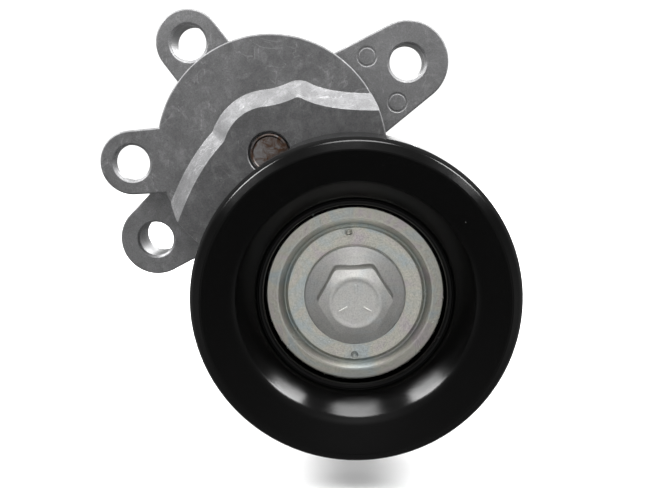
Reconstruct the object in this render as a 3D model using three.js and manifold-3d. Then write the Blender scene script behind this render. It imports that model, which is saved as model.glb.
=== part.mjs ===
// Automatic belt tensioner with a smooth steel idler pulley on a sprung, damped arm.
// Millimetres. +Z is up, the pivot and pulley axes run along Y, and the front faces -Y.
// The origin is on the pivot axis, in the plane of the ears' rear faces.
import * as THREE from 'three';
import { mergeVertices } from 'three/addons/utils/BufferGeometryUtils.js';
import Module from 'manifold-3d';

const wasm = await Module();
wasm.setup();

// ---------------------------------------------------------------- driving dimensions

const GAP = 0.3;                 // between pieces that rest on each other
const PRESS_GAP = 0.06;          // radial, between pieces that are pressed together
const RUN_GAP = 0.08;            // radial, between a shaft and its bushing

// layout along Y, each plane worked out from the one behind it
const EAR_THICKNESS = 10;
const RIM_STEP = 0.8;            // cup rim in front of the ears
const RIM_TO_CAP = 1.0;          // cup rim to the back of the arm's cap
const CAP_THICKNESS = 3.2;
const WEB_RISE = 5;              // raised web in front of the cap
const BOSS_RISE = 3;             // bearing boss in front of the web
const SLINGER = { thickness: 0.8, flat: 2.4, lip: 1.1, flare: 0.5, fold: 0.3, edge: 0.6 };
const COVER = {                  // radii as distances inside the bearing's outer radius
  hub: 1.3, hubRoom: 0.2, sheet: 0.55, flatTo: 5.2, grooveFrom: 4.75, grooveTo: 4.4, groove: 0.45,
  crest: 3.05, crown: 0.5, rimRoom: 0.4, rimBack: 0.15,
};

// arm
const CAP_OVERHANG = 0.5;        // cap beyond the base's cup
const ARM_LENGTH = 36.0;         // pivot axis to pulley axis
const ARM_ANGLE = -56;           // degrees from +X, towards +Z
const WEB_SLOPE_RUN = 3.9;
const WEB_END_RADIUS = 13.5;
const HUB_CREST_RADIUS = 10.95;
const CREST = {                  // distances beyond the hub's crest, and angles in degrees
  from: 222, beyondCap: 4.6, dip: 8.5, dipAt: 196, hubFrom: 167, roundFrom: 160, roundTo: 84,
  peak: 3.95, peakAt: 62.5, sag: 6.3, sagAt: 32.7, to: 18.2,
};
const LUG = { angle: 184.54, beyond: 6.3, radius: 7.8, root: 8.4 };
const SWING = 28;                // degrees of arm travel from the free stop
const STOP_TAB = { angle: 92, sweep: 8, height: 2.4, inside: 0.6, outside: 0.8, room: 1 };
const POCKET = { metal: 3.4, fromBoss: 2.5, fromRim: 7, halfRib: 7, sweep: 55 };
const SPIGOT = { short: 1.6, chamfer: 0.6 };

// pivot
const SHAFT_NECK_RADIUS = 4.6;
const SHAFT_RADIUS = 5.8;
const SHAFT_SUNK = 0.35;         // shaft end below the web's face
const SHAFT_COUNTERBORE = 0.55;  // radial room round the shaft's visible end
const COUNTERBORE_DEPTH = 1.8;
const MOUTH_CHAMFER = 0.3;
const SHAFT_CHAMFER = 0.6;
const TAIL_CHAMFER = 0.5;
const BUSH_WALL = 1.3;
const BUSH_FLANGE = 1.1;
const HUB_WALL = 2.4;
const PIVOT_BOSS_RADIUS = 9.0;
const PIVOT_BOSS_HEIGHT = 2.2;
const RETAINER = {
  washer: 1.4, washerBeyond: 1.36, washerRoom: 0.15,
  ring: 1.2, ringBeyond: 2.6, ringFrom: -60, ringTo: 240, groove: 0.9, tail: 1.6,
};

// base
const CUP_OUTER = 27.3;
const CUP_WALL = 4.2;
const CASE_DEPTH = 9;            // spring case behind the mounting plane
const CASE_SIDE = 1.6;           // step from the cup to the case behind the ears
const CASE_FLOOR = 3;
const HOLE_RADIUS = 4.3;         // the three ears and the arm's lug
const HOLE_CHAMFER = 0.5;
// each ear's hole stands beyond the cup at an angle; marks are counted from the hole
const EARS = [
  { angle: 127.88, beyond: 5.77, radius: 8.0, root: 8.4, marks: [] },
  { angle: 216.72, beyond: 10.0, radius: 9.0, root: 14.6, marks: [] },
  { angle: 33.04, beyond: 11.95, radius: 9.95, root: 14.3, marks: [[-9.8, 1.4], [-2.3, -9.6]] },
];
const MARK = { radius: 2.4, groove: 0.5, depth: 0.4 };
const HUB_ROOM = 1;              // round the hub's front end, for the bushing's flange
const RIM_SEAL = { width: 2.2, room: 3 };

// torsion spring and damper
const WIRE_RADIUS = 1.6;
const SPRING_ROOM = 1.9;         // from the wire to the damper's strip
const SPRING_TURNS = 3.25;
const SPRING_PITCH = 3.55;
const SEAT = { thickness: 0.8, beyond: 1 };
const SHOE = { thickness: 2.0, length: 9, start: 130, sweep: 235, gap: 0.25 };
const STRIP = { thickness: 0.6, gap: 0.15, inset: 1, shortBy: 5 };

// bearing, a 17 x 40 x 12 deep-groove ball bearing
const BEARING = { bore: 8.5, outer: 20, width: 12, ball: 3.375, balls: 8, chamfer: 0.5 };
const RACE_GAP = 0.07;
const RACE_STEPS = 6;
const RING_LAND = 2.25;          // land radius from the pitch circle
const SEAL = { thickness: 0.7, inset: 0.35, reach: 0.25 };
const CAGE = { half: 0.9, clearance: 0.14, back: 0.2, front: 2.4, mouth: 0.7 };

// pulley
const PULLEY_RADIUS = 35;
const PULLEY_WIDTH = 26;
const PULLEY_FRONT = 11.2;       // pulley's front edge in front of the bolt's flange
const PULLEY_SHEET = 2.4;
const PULLEY_EDGE = 2.0;         // rounding of the front edge, twice that of the rear one
const PULLEY_ROLL = 100;         // degrees that the front edge is rolled through
const RIM_BITE = 0.15;           // the web's outer edge behind the rim's front
const DISH = {                   // the ring is beyond the bearing, foot and back in sheets
  ring: 6.0, ringDrop: 3.2, slopeDrop: 8.0, foot: 0.7, back: 1.6,
  bow: [0.3, 0.5], before: [0.5, 0.6], after: [0.6, 0.35],
};
const HUB_LIP = { beyond: 0.7, half: 0.4, drop: 9.3, wall: 2.0 };
const REAR_LIP = { reach: 1.0, gap: 0.4 };

// pulley bolt, M10 with a 14 mm hexagon and a 22.3 mm conical flange
const BOLT = {
  shank: 5, length: 25, point: 1, room: 0.15,
  across: 14, head: 7.6, crown: 5.6, chamfer: 30, turn: 27.5,
  flange: 11.15, rim: 1.0, edge: 0.2, coneTop: 8.3, coneRise: 2.3,
};
const DIMPLE = { radius: 0.55, depth: 0.3, at: 13.9, angles: [96, -90], facets: 12 };

const ROUND = 48;                // facets round a visible circle
const INNER_ROUND = 30;          // facets round a hidden circle
const PULLEY_ROUND = 64;         // facets round the pulley
const CAP_ROUND = 64;            // facets round the arm's cap
const BEARING_ROUND = 64;        // facets round the bearing's rings, cage and seals
const MARK_FACETS = 24;
const SPRING_STEPS = 24;         // steps in each turn of the spring
const SHOE_STEPS = 20;           // steps along the shoe and its strip
const BALL_FACETS = [12, 8];
const OVERCUT = 1;               // how far a cutter or a root reaches past a face

// ---------------------------------------------------------------- planes along Y

const EAR_FRONT = -EAR_THICKNESS;
const CUP_RIM = EAR_FRONT - RIM_STEP;
const CAP_BACK = CUP_RIM - RIM_TO_CAP;
const CAP_FRONT = CAP_BACK - CAP_THICKNESS;
const WEB_FRONT = CAP_FRONT - WEB_RISE;
const BOSS_FRONT = WEB_FRONT - BOSS_RISE;
const BEARING_REAR = BOSS_FRONT - SLINGER.thickness - 2 * PRESS_GAP;
const BEARING_FRONT = BEARING_REAR - BEARING.width;
const COVER_BACK = BEARING_FRONT - PRESS_GAP;
const COVER_FRONT = COVER_BACK - COVER.hub;
const FLANGE_BACK = COVER_FRONT - PRESS_GAP;
const PULLEY_FRONT_Y = FLANGE_BACK - PULLEY_FRONT;
const PULLEY_REAR_Y = PULLEY_FRONT_Y + PULLEY_WIDTH;
const CASE_REAR = CASE_DEPTH;
const CASE_FLOOR_Y = CASE_REAR - CASE_FLOOR;
const PIVOT_BOSS_REAR = CAP_BACK + PIVOT_BOSS_HEIGHT;
const BUSH_FRONT = PIVOT_BOSS_REAR + GAP;
const HUB_FRONT = BUSH_FRONT + BUSH_FLANGE + GAP;
const CUP_INNER = CUP_OUTER - CUP_WALL;
const BUSH_INNER = SHAFT_RADIUS + RUN_GAP;
const BUSH_OUTER = BUSH_INNER + BUSH_WALL;
const HUB_INNER = BUSH_OUTER + PRESS_GAP;
const HUB_OUTER = HUB_INNER + HUB_WALL;
const CAP_RADIUS = CUP_OUTER + CAP_OVERHANG;
const STRIP_OUTER = CUP_INNER - SHOE.gap - SHOE.thickness - STRIP.gap;
const SPRING_MEAN_RADIUS = STRIP_OUTER - STRIP.thickness - SPRING_ROOM - WIRE_RADIUS;
const PITCH_RADIUS = (BEARING.bore + BEARING.outer) / 2;
const RACE_RADIUS = BEARING.ball + RACE_GAP;
const INNER_LAND = PITCH_RADIUS - RING_LAND;
const OUTER_LAND = PITCH_RADIUS + RING_LAND;
const BEARING_MIDDLE = (BEARING_FRONT + BEARING_REAR) / 2;
const RIM_INNER = PULLEY_RADIUS - PULLEY_SHEET;
const HUB_SEAT = BEARING.outer + PRESS_GAP;
const HUB_RADIUS = HUB_SEAT + HUB_LIP.wall;
const WASHER_FRONT = CASE_REAR + GAP;
const RETAINER_FRONT = WASHER_FRONT + RETAINER.washer + PRESS_GAP;
const GROOVE_REAR = RETAINER_FRONT + RETAINER.ring + PRESS_GAP;

const rad = THREE.MathUtils.degToRad;
const polar = (radius, angle) => [radius * Math.cos(rad(angle)), radius * Math.sin(rad(angle))];
const PULLEY_AXIS = polar(ARM_LENGTH, ARM_ANGLE);
const LUG_AT = polar(CAP_RADIUS + LUG.beyond, LUG.angle);
const earAt = (ear) => polar(CUP_OUTER + ear.beyond, ear.angle);

// ---------------------------------------------------------------- solids

// A three.js geometry as a manifold solid, turned face out.
function solid(geometry) {
  const bare = geometry.clone();
  bare.deleteAttribute('normal');
  bare.deleteAttribute('uv');
  const merged = mergeVertices(bare, 1e-4);
  const at = merged.getAttribute('position');
  const index = merged.getIndex().array;
  const triangles = [];
  let volume = 0;
  const [a, b, c] = [new THREE.Vector3(), new THREE.Vector3(), new THREE.Vector3()];
  for (let i = 0; i < index.length; i += 3) {
    const [p, q, r] = [index[i], index[i + 1], index[i + 2]];
    if (p === q || q === r || r === p) continue;
    triangles.push(p, q, r);
    volume += a.fromBufferAttribute(at, p).dot(
      b.fromBufferAttribute(at, q).cross(c.fromBufferAttribute(at, r)));
  }
  if (volume < 0) {
    for (let i = 0; i < triangles.length; i += 3) {
      [triangles[i], triangles[i + 1]] = [triangles[i + 1], triangles[i]];
    }
  }
  return new wasm.Manifold(new wasm.Mesh({
    numProp: 3,
    vertProperties: new Float32Array(at.array),
    triVerts: new Uint32Array(triangles),
  }));
}

const join = (...parts) => parts.reduce((whole, part) => whole.add(part));
const cut = (whole, ...tools) => tools.reduce((rest, tool) => rest.subtract(tool), whole);

// A profile of [radius, y] points turned round the Y axis, then moved to an axis at x, z.
function turned(profile, [x, z] = [0, 0], facets = ROUND) {
  const points = [...profile, profile[0]].map(([r, y]) => new THREE.Vector2(r, y));
  return solid(new THREE.LatheGeometry(points, facets).translate(x, 0, z));
}

// A round bar along Y from one plane to another.
const bar = (radius, front, rear, centre = [0, 0], facets = ROUND) =>
  turned([[0, front], [radius, front], [radius, rear], [0, rear]], centre, facets);

// A tube along Y.
const tube = (inner, outer, front, rear, centre = [0, 0], facets = ROUND) =>
  turned([[inner, front], [outer, front], [outer, rear], [inner, rear]], centre, facets);

// A flat outline drawn in X and Z, as thick as the planes are apart.
function slab(shape, front, rear, curveSegments = 14) {
  const geometry = new THREE.ExtrudeGeometry(shape, {
    depth: rear - front, bevelEnabled: false, curveSegments,
  });
  return solid(geometry.rotateX(Math.PI / 2).translate(0, rear, 0));
}

// The outline round two circles and the straight lines that touch both.
function strap([ax, az], ra, [bx, bz], rb) {
  const along = Math.atan2(bz - az, bx - ax);
  const lean = Math.acos((ra - rb) / Math.hypot(bx - ax, bz - az));
  const shape = new THREE.Shape();
  shape.absarc(ax, az, ra, along + lean, along - lean + 2 * Math.PI, false);
  shape.absarc(bx, bz, rb, along - lean, along + lean, false);
  shape.closePath();
  return shape;
}

// The outline of a piece of a ring between two angles in degrees.
function sector(inner, outer, from, to) {
  const shape = new THREE.Shape();
  shape.absarc(0, 0, outer, rad(from), rad(to), false);
  shape.absarc(0, 0, inner, rad(to), rad(from), true);
  shape.closePath();
  return shape;
}

// A bolt hole through from front to rear with a chamfer at both faces.
function hole([x, z], radius, front, rear) {
  const wide = radius + HOLE_CHAMFER + OVERCUT;
  return turned([
    [0, front - OVERCUT], [wide, front - OVERCUT], [radius, front + HOLE_CHAMFER],
    [radius, rear - HOLE_CHAMFER], [wide, rear + OVERCUT], [0, rear + OVERCUT],
  ], [x, z], INNER_ROUND);
}

function hexagon(across, front, rear, [x, z], turn = 0) {
  const bar6 = new THREE.CylinderGeometry(across / Math.sqrt(3), across / Math.sqrt(3), rear - front, 6);
  bar6.rotateY(rad(turn)).translate(x, (front + rear) / 2, z);
  return solid(bar6);
}

// ---------------------------------------------------------------- the finished group

const assembly = new THREE.Group();
const MATERIALS = {
  castAluminium: { color: 0x83868a, roughness: 0.62, metalness: 0.85 },
  blackPaint: { color: 0x0b0b0c, roughness: 0.18, metalness: 0.0 },
  zincPlate: { color: 0xc9cac3, roughness: 0.3, metalness: 0.95 },
  bearingSteel: { color: 0xa6a8aa, roughness: 0.25, metalness: 1.0 },
  shaftSteel: { color: 0x6d5a48, roughness: 0.42, metalness: 0.9 },
  springSteel: { color: 0x4a4b4d, roughness: 0.45, metalness: 0.9 },
  sealRubber: { color: 0x161616, roughness: 0.7, metalness: 0.0 },
  polymer: { color: 0x2a2926, roughness: 0.55, metalness: 0.0 },
  cageNylon: { color: 0xb8a887, roughness: 0.5, metalness: 0.0 },
};

function place(name, material, piece) {
  const mesh = piece.getMesh();
  const geometry = new THREE.BufferGeometry();
  geometry.setAttribute('position', new THREE.BufferAttribute(mesh.vertProperties, 3));
  geometry.setIndex(new THREE.BufferAttribute(mesh.triVerts, 1));
  geometry.computeVertexNormals();
  const node = new THREE.Mesh(geometry, new THREE.MeshStandardMaterial(MATERIALS[material]));
  node.name = name;
  assembly.add(node);
}

// ---------------------------------------------------------------- base

// The die-cast base: spring cup, three bolt ears, pivot hub and the slot for the arm's stop tab.
function baseBracket() {
  const caseRadius = CUP_OUTER - CASE_SIDE;
  const ears = EARS.map((ear) => slab(strap(earAt(ear), ear.radius, [0, 0], ear.root), EAR_FRONT, 0));
  const body = join(
    bar(CUP_OUTER, CUP_RIM, 0),
    bar(caseRadius, -OVERCUT, CASE_REAR),
    ...ears,
  );
  const room = tube(HUB_OUTER, CUP_INNER, CUP_RIM - OVERCUT, CASE_FLOOR_Y);
  const aboveHub = bar(HUB_OUTER + HUB_ROOM, CUP_RIM - OVERCUT, HUB_FRONT);
  const pivotBore = bar(HUB_INNER, CUP_RIM - OVERCUT, CASE_REAR + OVERCUT, [0, 0], INNER_ROUND);
  const holes = EARS.map((ear) => hole(earAt(ear), HOLE_RADIUS, EAR_FRONT, 0));
  const marks = EARS.flatMap((ear) => ear.marks.map(([dx, dz]) => tube(
    MARK.radius - MARK.groove, MARK.radius, EAR_FRONT - OVERCUT, EAR_FRONT + MARK.depth,
    [earAt(ear)[0] + dx, earAt(ear)[1] + dz], MARK_FACETS)));
  const half = STOP_TAB.sweep / 2 + STOP_TAB.room;
  const slot = slab(
    sector(CUP_INNER - OVERCUT, CUP_OUTER + OVERCUT, STOP_TAB.angle - SWING - half, STOP_TAB.angle + half),
    CUP_RIM - OVERCUT, CAP_BACK + STOP_TAB.height + GAP);
  return cut(body, room, aboveHub, pivotBore, slot, ...holes, ...marks);
}

// The flanged bushing in which the pivot shaft turns.
function pivotBushing() {
  return turned([
    [BUSH_INNER, BUSH_FRONT], [HUB_OUTER, BUSH_FRONT],
    [HUB_OUTER, BUSH_FRONT + BUSH_FLANGE], [BUSH_OUTER, BUSH_FRONT + BUSH_FLANGE],
    [BUSH_OUTER, CASE_REAR - GAP], [BUSH_INNER, CASE_REAR - GAP],
  ], [0, 0], INNER_ROUND);
}

// The split ring that keeps dirt out between the cup's rim and the arm's cap.
function rimSeal() {
  const room = STOP_TAB.sweep / 2 + RIM_SEAL.room;
  const inner = (CUP_INNER + CUP_OUTER - RIM_SEAL.width) / 2;
  const shape = sector(inner, inner + RIM_SEAL.width,
    STOP_TAB.angle + room, STOP_TAB.angle + 360 - SWING - room);
  return slab(shape, CAP_BACK + GAP / 2, CUP_RIM - GAP / 2, 30);
}

// The flat ring under the spring's rear coil.
function springSeat() {
  const reach = WIRE_RADIUS + SEAT.beyond;
  return tube(SPRING_MEAN_RADIUS - reach, SPRING_MEAN_RADIUS + reach,
    CASE_FLOOR_Y - GAP - SEAT.thickness, CASE_FLOOR_Y - GAP, [0, 0], INNER_ROUND);
}

// ---------------------------------------------------------------- arm

// The outline of the raised web's crest: it starts outside the cap at the lower left, runs up
// to the pivot's hub, round the hub, over a small peak and out to the right. The far corners
// lie beyond the arm's end, where the arm's outline cuts the web.
function webCrest() {
  const [r, outside] = [HUB_CREST_RADIUS, CAP_RADIUS + CREST.beyondCap];
  const far = CAP_RADIUS + ARM_LENGTH + WEB_END_RADIUS;
  const shape = new THREE.Shape();
  shape.moveTo(...polar(outside, CREST.from));
  shape.quadraticCurveTo(...polar(r + CREST.dip, CREST.dipAt), ...polar(r, CREST.hubFrom));
  shape.lineTo(...polar(r, CREST.roundFrom));
  shape.absarc(0, 0, r, rad(CREST.roundFrom), rad(CREST.roundTo), true);
  shape.lineTo(...polar(r + CREST.peak, CREST.peakAt));
  shape.quadraticCurveTo(...polar(r + CREST.sag, CREST.sagAt), ...polar(outside, CREST.to));
  shape.lineTo(far, 0);
  shape.lineTo(far, -far);
  shape.lineTo(-far / 2, -far);
  shape.closePath();
  return shape;
}

// The web with its sloped side, cut to the arm's outline.
function raisedWeb(outline) {
  const geometry = new THREE.ExtrudeGeometry(webCrest(), {
    depth: CAP_THICKNESS + OVERCUT,
    bevelEnabled: true,
    bevelThickness: WEB_RISE,
    bevelSize: WEB_SLOPE_RUN,
    bevelSegments: 1,
    curveSegments: 14,
  });
  geometry.rotateX(Math.PI / 2).translate(0, CAP_BACK + OVERCUT, 0);
  return solid(geometry).intersect(slab(outline, WEB_FRONT - OVERCUT, CAP_BACK, CAP_ROUND / 2));
}

// Casting pockets in the web's back, on both sides of a rib along the arm.
function webPockets() {
  const [inner, outer] = [PIVOT_BOSS_RADIUS + POCKET.fromBoss, CAP_RADIUS - POCKET.fromRim];
  return [ARM_ANGLE + POCKET.halfRib, ARM_ANGLE - POCKET.halfRib - POCKET.sweep].map((from) => slab(
    sector(inner, outer, from, from + POCKET.sweep), WEB_FRONT + POCKET.metal, CAP_BACK + OVERCUT));
}

function tensionArm() {
  const outline = strap([0, 0], CAP_RADIUS, PULLEY_AXIS, WEB_END_RADIUS);
  const spigot = BEARING.bore - PRESS_GAP;
  const spigotFront = BEARING_FRONT + SPIGOT.short;
  const lug = slab(strap(LUG_AT, LUG.radius, [0, 0], LUG.root), CAP_FRONT, CAP_BACK);
  const half = STOP_TAB.sweep / 2;
  const body = join(
    bar(CAP_RADIUS, CAP_FRONT, CAP_BACK, [0, 0], CAP_ROUND),
    raisedWeb(outline),
    lug,
    bar(PIVOT_BOSS_RADIUS, CAP_BACK - OVERCUT, PIVOT_BOSS_REAR),
    bar(INNER_LAND, BOSS_FRONT, WEB_FRONT + OVERCUT, PULLEY_AXIS),
    turned([
      [0, spigotFront], [spigot - SPIGOT.chamfer, spigotFront], [spigot, spigotFront + SPIGOT.chamfer],
      [spigot, BOSS_FRONT + OVERCUT], [0, BOSS_FRONT + OVERCUT],
    ], PULLEY_AXIS),
    slab(sector(CUP_INNER + STOP_TAB.inside, CUP_OUTER - STOP_TAB.outside,
      STOP_TAB.angle - half, STOP_TAB.angle + half), CAP_BACK - OVERCUT, CAP_BACK + STOP_TAB.height),
  );
  const neck = SHAFT_NECK_RADIUS + PRESS_GAP;
  const mouth = SHAFT_NECK_RADIUS + SHAFT_COUNTERBORE;
  const shaftHole = turned([
    [0, WEB_FRONT - OVERCUT], [mouth + MOUTH_CHAMFER + OVERCUT, WEB_FRONT - OVERCUT],
    [mouth, WEB_FRONT + MOUTH_CHAMFER], [mouth, WEB_FRONT + COUNTERBORE_DEPTH],
    [neck, WEB_FRONT + COUNTERBORE_DEPTH], [neck, PIVOT_BOSS_REAR + OVERCUT],
    [0, PIVOT_BOSS_REAR + OVERCUT],
  ], [0, 0], INNER_ROUND);
  return cut(body, ...webPockets(), shaftHole,
    hole(LUG_AT, HOLE_RADIUS, CAP_FRONT, CAP_BACK),
    bar(BOLT.shank + BOLT.room, spigotFront - OVERCUT, CAP_BACK + OVERCUT, PULLEY_AXIS, INNER_ROUND));
}

// The stepped shaft: its neck is pressed into the arm, and its tail holds the retaining ring.
function pivotShaft() {
  const front = WEB_FRONT + SHAFT_SUNK;
  const shoulder = PIVOT_BOSS_REAR + PRESS_GAP;
  const groove = SHAFT_RADIUS - RETAINER.groove;
  return turned([
    [0, front], [SHAFT_NECK_RADIUS - SHAFT_CHAMFER, front], [SHAFT_NECK_RADIUS, front + SHAFT_CHAMFER],
    [SHAFT_NECK_RADIUS, shoulder], [SHAFT_RADIUS, shoulder],
    [SHAFT_RADIUS, RETAINER_FRONT - PRESS_GAP], [groove, RETAINER_FRONT - PRESS_GAP],
    [groove, GROOVE_REAR], [SHAFT_RADIUS, GROOVE_REAR],
    [SHAFT_RADIUS, GROOVE_REAR + RETAINER.tail - TAIL_CHAMFER],
    [SHAFT_RADIUS - TAIL_CHAMFER, GROOVE_REAR + RETAINER.tail], [0, GROOVE_REAR + RETAINER.tail],
  ], [0, 0], INNER_ROUND);
}

const rearWasher = () => tube(SHAFT_RADIUS + RETAINER.washerRoom, HUB_OUTER + RETAINER.washerBeyond,
  WASHER_FRONT, WASHER_FRONT + RETAINER.washer, [0, 0], INNER_ROUND);

// The open retaining ring in the shaft's groove.
function retainingRing() {
  const inner = SHAFT_RADIUS - RETAINER.groove + GAP / 2;
  return slab(sector(inner, SHAFT_RADIUS + RETAINER.ringBeyond, RETAINER.ringFrom, RETAINER.ringTo),
    RETAINER_FRONT, RETAINER_FRONT + RETAINER.ring);
}

// The helix that the spring's wire follows, from the arm's cap to the cup's floor.
class SpringPath extends THREE.Curve {
  getPoint(t, target = new THREE.Vector3()) {
    const turn = t * SPRING_TURNS * 2 * Math.PI;
    const front = CASE_FLOOR_Y - 2 * GAP - SEAT.thickness - WIRE_RADIUS - SPRING_TURNS * SPRING_PITCH;
    return target.set(
      SPRING_MEAN_RADIUS * Math.cos(turn),
      front + t * SPRING_TURNS * SPRING_PITCH,
      SPRING_MEAN_RADIUS * Math.sin(turn));
  }
}

function torsionSpring() {
  const wire = new THREE.Shape();
  wire.absarc(0, 0, WIRE_RADIUS, 0, 2 * Math.PI, false);
  const steps = Math.round(SPRING_TURNS * SPRING_STEPS);
  return solid(new THREE.ExtrudeGeometry(wire, {
    steps, curveSegments: 4, extrudePath: new SpringPath(), bevelEnabled: false,
  }));
}

// The curved friction shoe between the spring and the cup's wall.
function damperShoe() {
  const outer = CUP_INNER - SHOE.gap;
  const front = CAP_BACK + GAP;
  return slab(sector(outer - SHOE.thickness, outer, SHOE.start, SHOE.start + SHOE.sweep),
    front, front + SHOE.length, SHOE_STEPS);
}

// The thin spring-steel strip that backs the shoe.
function damperSpring() {
  const front = CAP_BACK + GAP + STRIP.inset;
  return slab(sector(STRIP_OUTER - STRIP.thickness, STRIP_OUTER,
    SHOE.start + STRIP.shortBy, SHOE.start + SHOE.sweep - STRIP.shortBy),
    front, front + SHOE.length - 2 * STRIP.inset, SHOE_STEPS);
}

// ---------------------------------------------------------------- bolt and cover

// The flanged hexagon bolt, with its corners chamfered.
function pulleyBolt() {
  const front = FLANGE_BACK - BOLT.head;
  const corner = BOLT.across / Math.sqrt(3);
  const wide = corner + OVERCUT;
  const drop = (wide - BOLT.crown) * Math.tan(rad(BOLT.chamfer));
  const rear = FLANGE_BACK + BOLT.length;
  const crown = turned([
    [0, front], [BOLT.crown, front], [wide, front + drop], [wide, FLANGE_BACK], [0, FLANGE_BACK],
  ], PULLEY_AXIS);
  const hex = hexagon(BOLT.across, front, FLANGE_BACK - BOLT.edge, PULLEY_AXIS, BOLT.turn)
    .intersect(crown);
  const stem = turned([
    [0, FLANGE_BACK - BOLT.coneRise], [BOLT.coneTop, FLANGE_BACK - BOLT.coneRise],
    [BOLT.flange, FLANGE_BACK - BOLT.rim], [BOLT.flange, FLANGE_BACK - BOLT.edge],
    [BOLT.flange - BOLT.edge, FLANGE_BACK], [BOLT.shank, FLANGE_BACK],
    [BOLT.shank, rear - BOLT.point], [BOLT.shank - BOLT.point, rear], [0, rear],
  ], PULLEY_AXIS);
  return hex.add(stem);
}

// The pressed dust cover: flat centre on a thicker hub, step, groove and a conical rim, with
// two punched dimples. Each point is its distance inside the bearing's outer radius and its
// depth behind the cover's front face.
function dustCover() {
  const bore = BOLT.shank + GAP;
  const hubRadius = INNER_LAND - COVER.hubRoom;
  const formed = [
    [COVER.flatTo, 0], [COVER.grooveFrom, COVER.groove], [COVER.grooveTo, COVER.groove],
    [COVER.crest, -COVER.crown], [COVER.rimRoom, -COVER.rimBack],
  ].map(([inside, y]) => [BEARING.outer - inside, y]);
  const back = formed.map(([r, y]) => [r, y + COVER.sheet]).reverse();
  const profile = [
    [bore, 0], ...formed, ...back, [hubRadius, COVER.sheet], [hubRadius, COVER.hub], [bore, COVER.hub],
  ].map(([r, y]) => [r, COVER_FRONT + y]);
  const dimples = DIMPLE.angles.map((angle) => {
    const [dx, dz] = polar(DIMPLE.at, angle);
    return bar(DIMPLE.radius, COVER_FRONT - OVERCUT, COVER_FRONT + DIMPLE.depth,
      [PULLEY_AXIS[0] + dx, PULLEY_AXIS[1] + dz], DIMPLE.facets);
  });
  return cut(turned(profile, PULLEY_AXIS), ...dimples);
}

// The dished disc behind the bearing: flat on the boss, its lip flared towards the arm.
function rearSlinger() {
  const rear = BOSS_FRONT - PRESS_GAP;
  const front = rear - SLINGER.thickness;
  const [flat, lip] = [BEARING.outer - SLINGER.flat, BEARING.outer - SLINGER.lip];
  return turned([
    [BEARING.bore, front], [flat, front], [lip, rear + SLINGER.flare],
    [lip - SLINGER.fold, rear + SLINGER.flare + SLINGER.edge], [flat - SLINGER.fold, rear],
    [BEARING.bore, rear],
  ], PULLEY_AXIS);
}

// ---------------------------------------------------------------- bearing

// Points of a ball groove from its front edge to its rear edge; side is -1 in the inner ring
// and 1 in the outer one.
function groove(side) {
  const reach = Math.sqrt(RACE_RADIUS ** 2 - RING_LAND ** 2);
  const start = Math.atan2(RING_LAND, -reach);
  return Array.from({ length: RACE_STEPS + 1 }, (_, i) => {
    const angle = start + (Math.PI - 2 * start) * i / RACE_STEPS;
    return [PITCH_RADIUS + side * RACE_RADIUS * Math.sin(angle),
      BEARING_MIDDLE + RACE_RADIUS * Math.cos(angle)];
  });
}

// A bearing ring: its seat's radius with chamfered edges, its land and its ball groove.
function bearingRing(seat, land, side) {
  const edge = seat - side * BEARING.chamfer;
  return turned([
    [seat, BEARING_FRONT + BEARING.chamfer], [edge, BEARING_FRONT], [land, BEARING_FRONT],
    ...groove(side),
    [land, BEARING_REAR], [edge, BEARING_REAR], [seat, BEARING_REAR - BEARING.chamfer],
  ], PULLEY_AXIS, BEARING_ROUND);
}

function bearingSeal(front) {
  return tube(INNER_LAND + SEAL.reach, OUTER_LAND - PRESS_GAP, front, front + SEAL.thickness,
    PULLEY_AXIS, BEARING_ROUND);
}

const ballCentre = (i) => {
  const [x, z] = polar(PITCH_RADIUS, i * 360 / BEARING.balls);
  return new THREE.Vector3(PULLEY_AXIS[0] + x, BEARING_MIDDLE, PULLEY_AXIS[1] + z);
};

const ball = (i, radius = BEARING.ball) =>
  solid(new THREE.SphereGeometry(radius, ...BALL_FACETS).translate(...ballCentre(i).toArray()));

// The cage: a ring with a round pocket for each ball.
function ballCage() {
  const ring = tube(PITCH_RADIUS - CAGE.half, PITCH_RADIUS + CAGE.half,
    BEARING_MIDDLE - BEARING.ball - CAGE.back, BEARING_MIDDLE + CAGE.front, PULLEY_AXIS, BEARING_ROUND);
  const pockets = Array.from({ length: BEARING.balls }, (_, i) => ball(i, BEARING.ball + CAGE.clearance));
  const mouths = Array.from({ length: BEARING.balls }, (_, i) => {
    const [x, z] = [ballCentre(i).x, ballCentre(i).z];
    return bar(BEARING.ball * CAGE.mouth, BEARING_MIDDLE, BEARING_MIDDLE + BEARING.ball + OVERCUT,
      [x, z], MARK_FACETS);
  });
  return cut(ring, ...pockets, ...mouths);
}

// ---------------------------------------------------------------- pulley

// Points of a quarter turn about a centre, from one angle to another in degrees.
const quarter = ([r, y], radius, from, to, steps = 4) => Array.from({ length: steps + 1 }, (_, i) => {
  const angle = rad(from + (to - from) * i / steps);
  return [r + radius * Math.cos(angle), y + radius * Math.sin(angle)];
});

// The rim: a ring with a rolled front edge, on whose outside the belt's back runs.
function pulleyRim() {
  const [front, rear, edge] = [PULLEY_FRONT_Y, PULLEY_REAR_Y, PULLEY_EDGE];
  return turned([
    ...quarter([PULLEY_RADIUS - edge, front + edge], edge, -PULLEY_ROLL, 0),
    ...quarter([PULLEY_RADIUS - edge / 2, rear - edge / 2], edge / 2, 0, 90, 3),
    [RIM_INNER, rear], [RIM_INNER, front + RIM_BITE],
  ], PULLEY_AXIS, PULLEY_ROUND);
}

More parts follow.
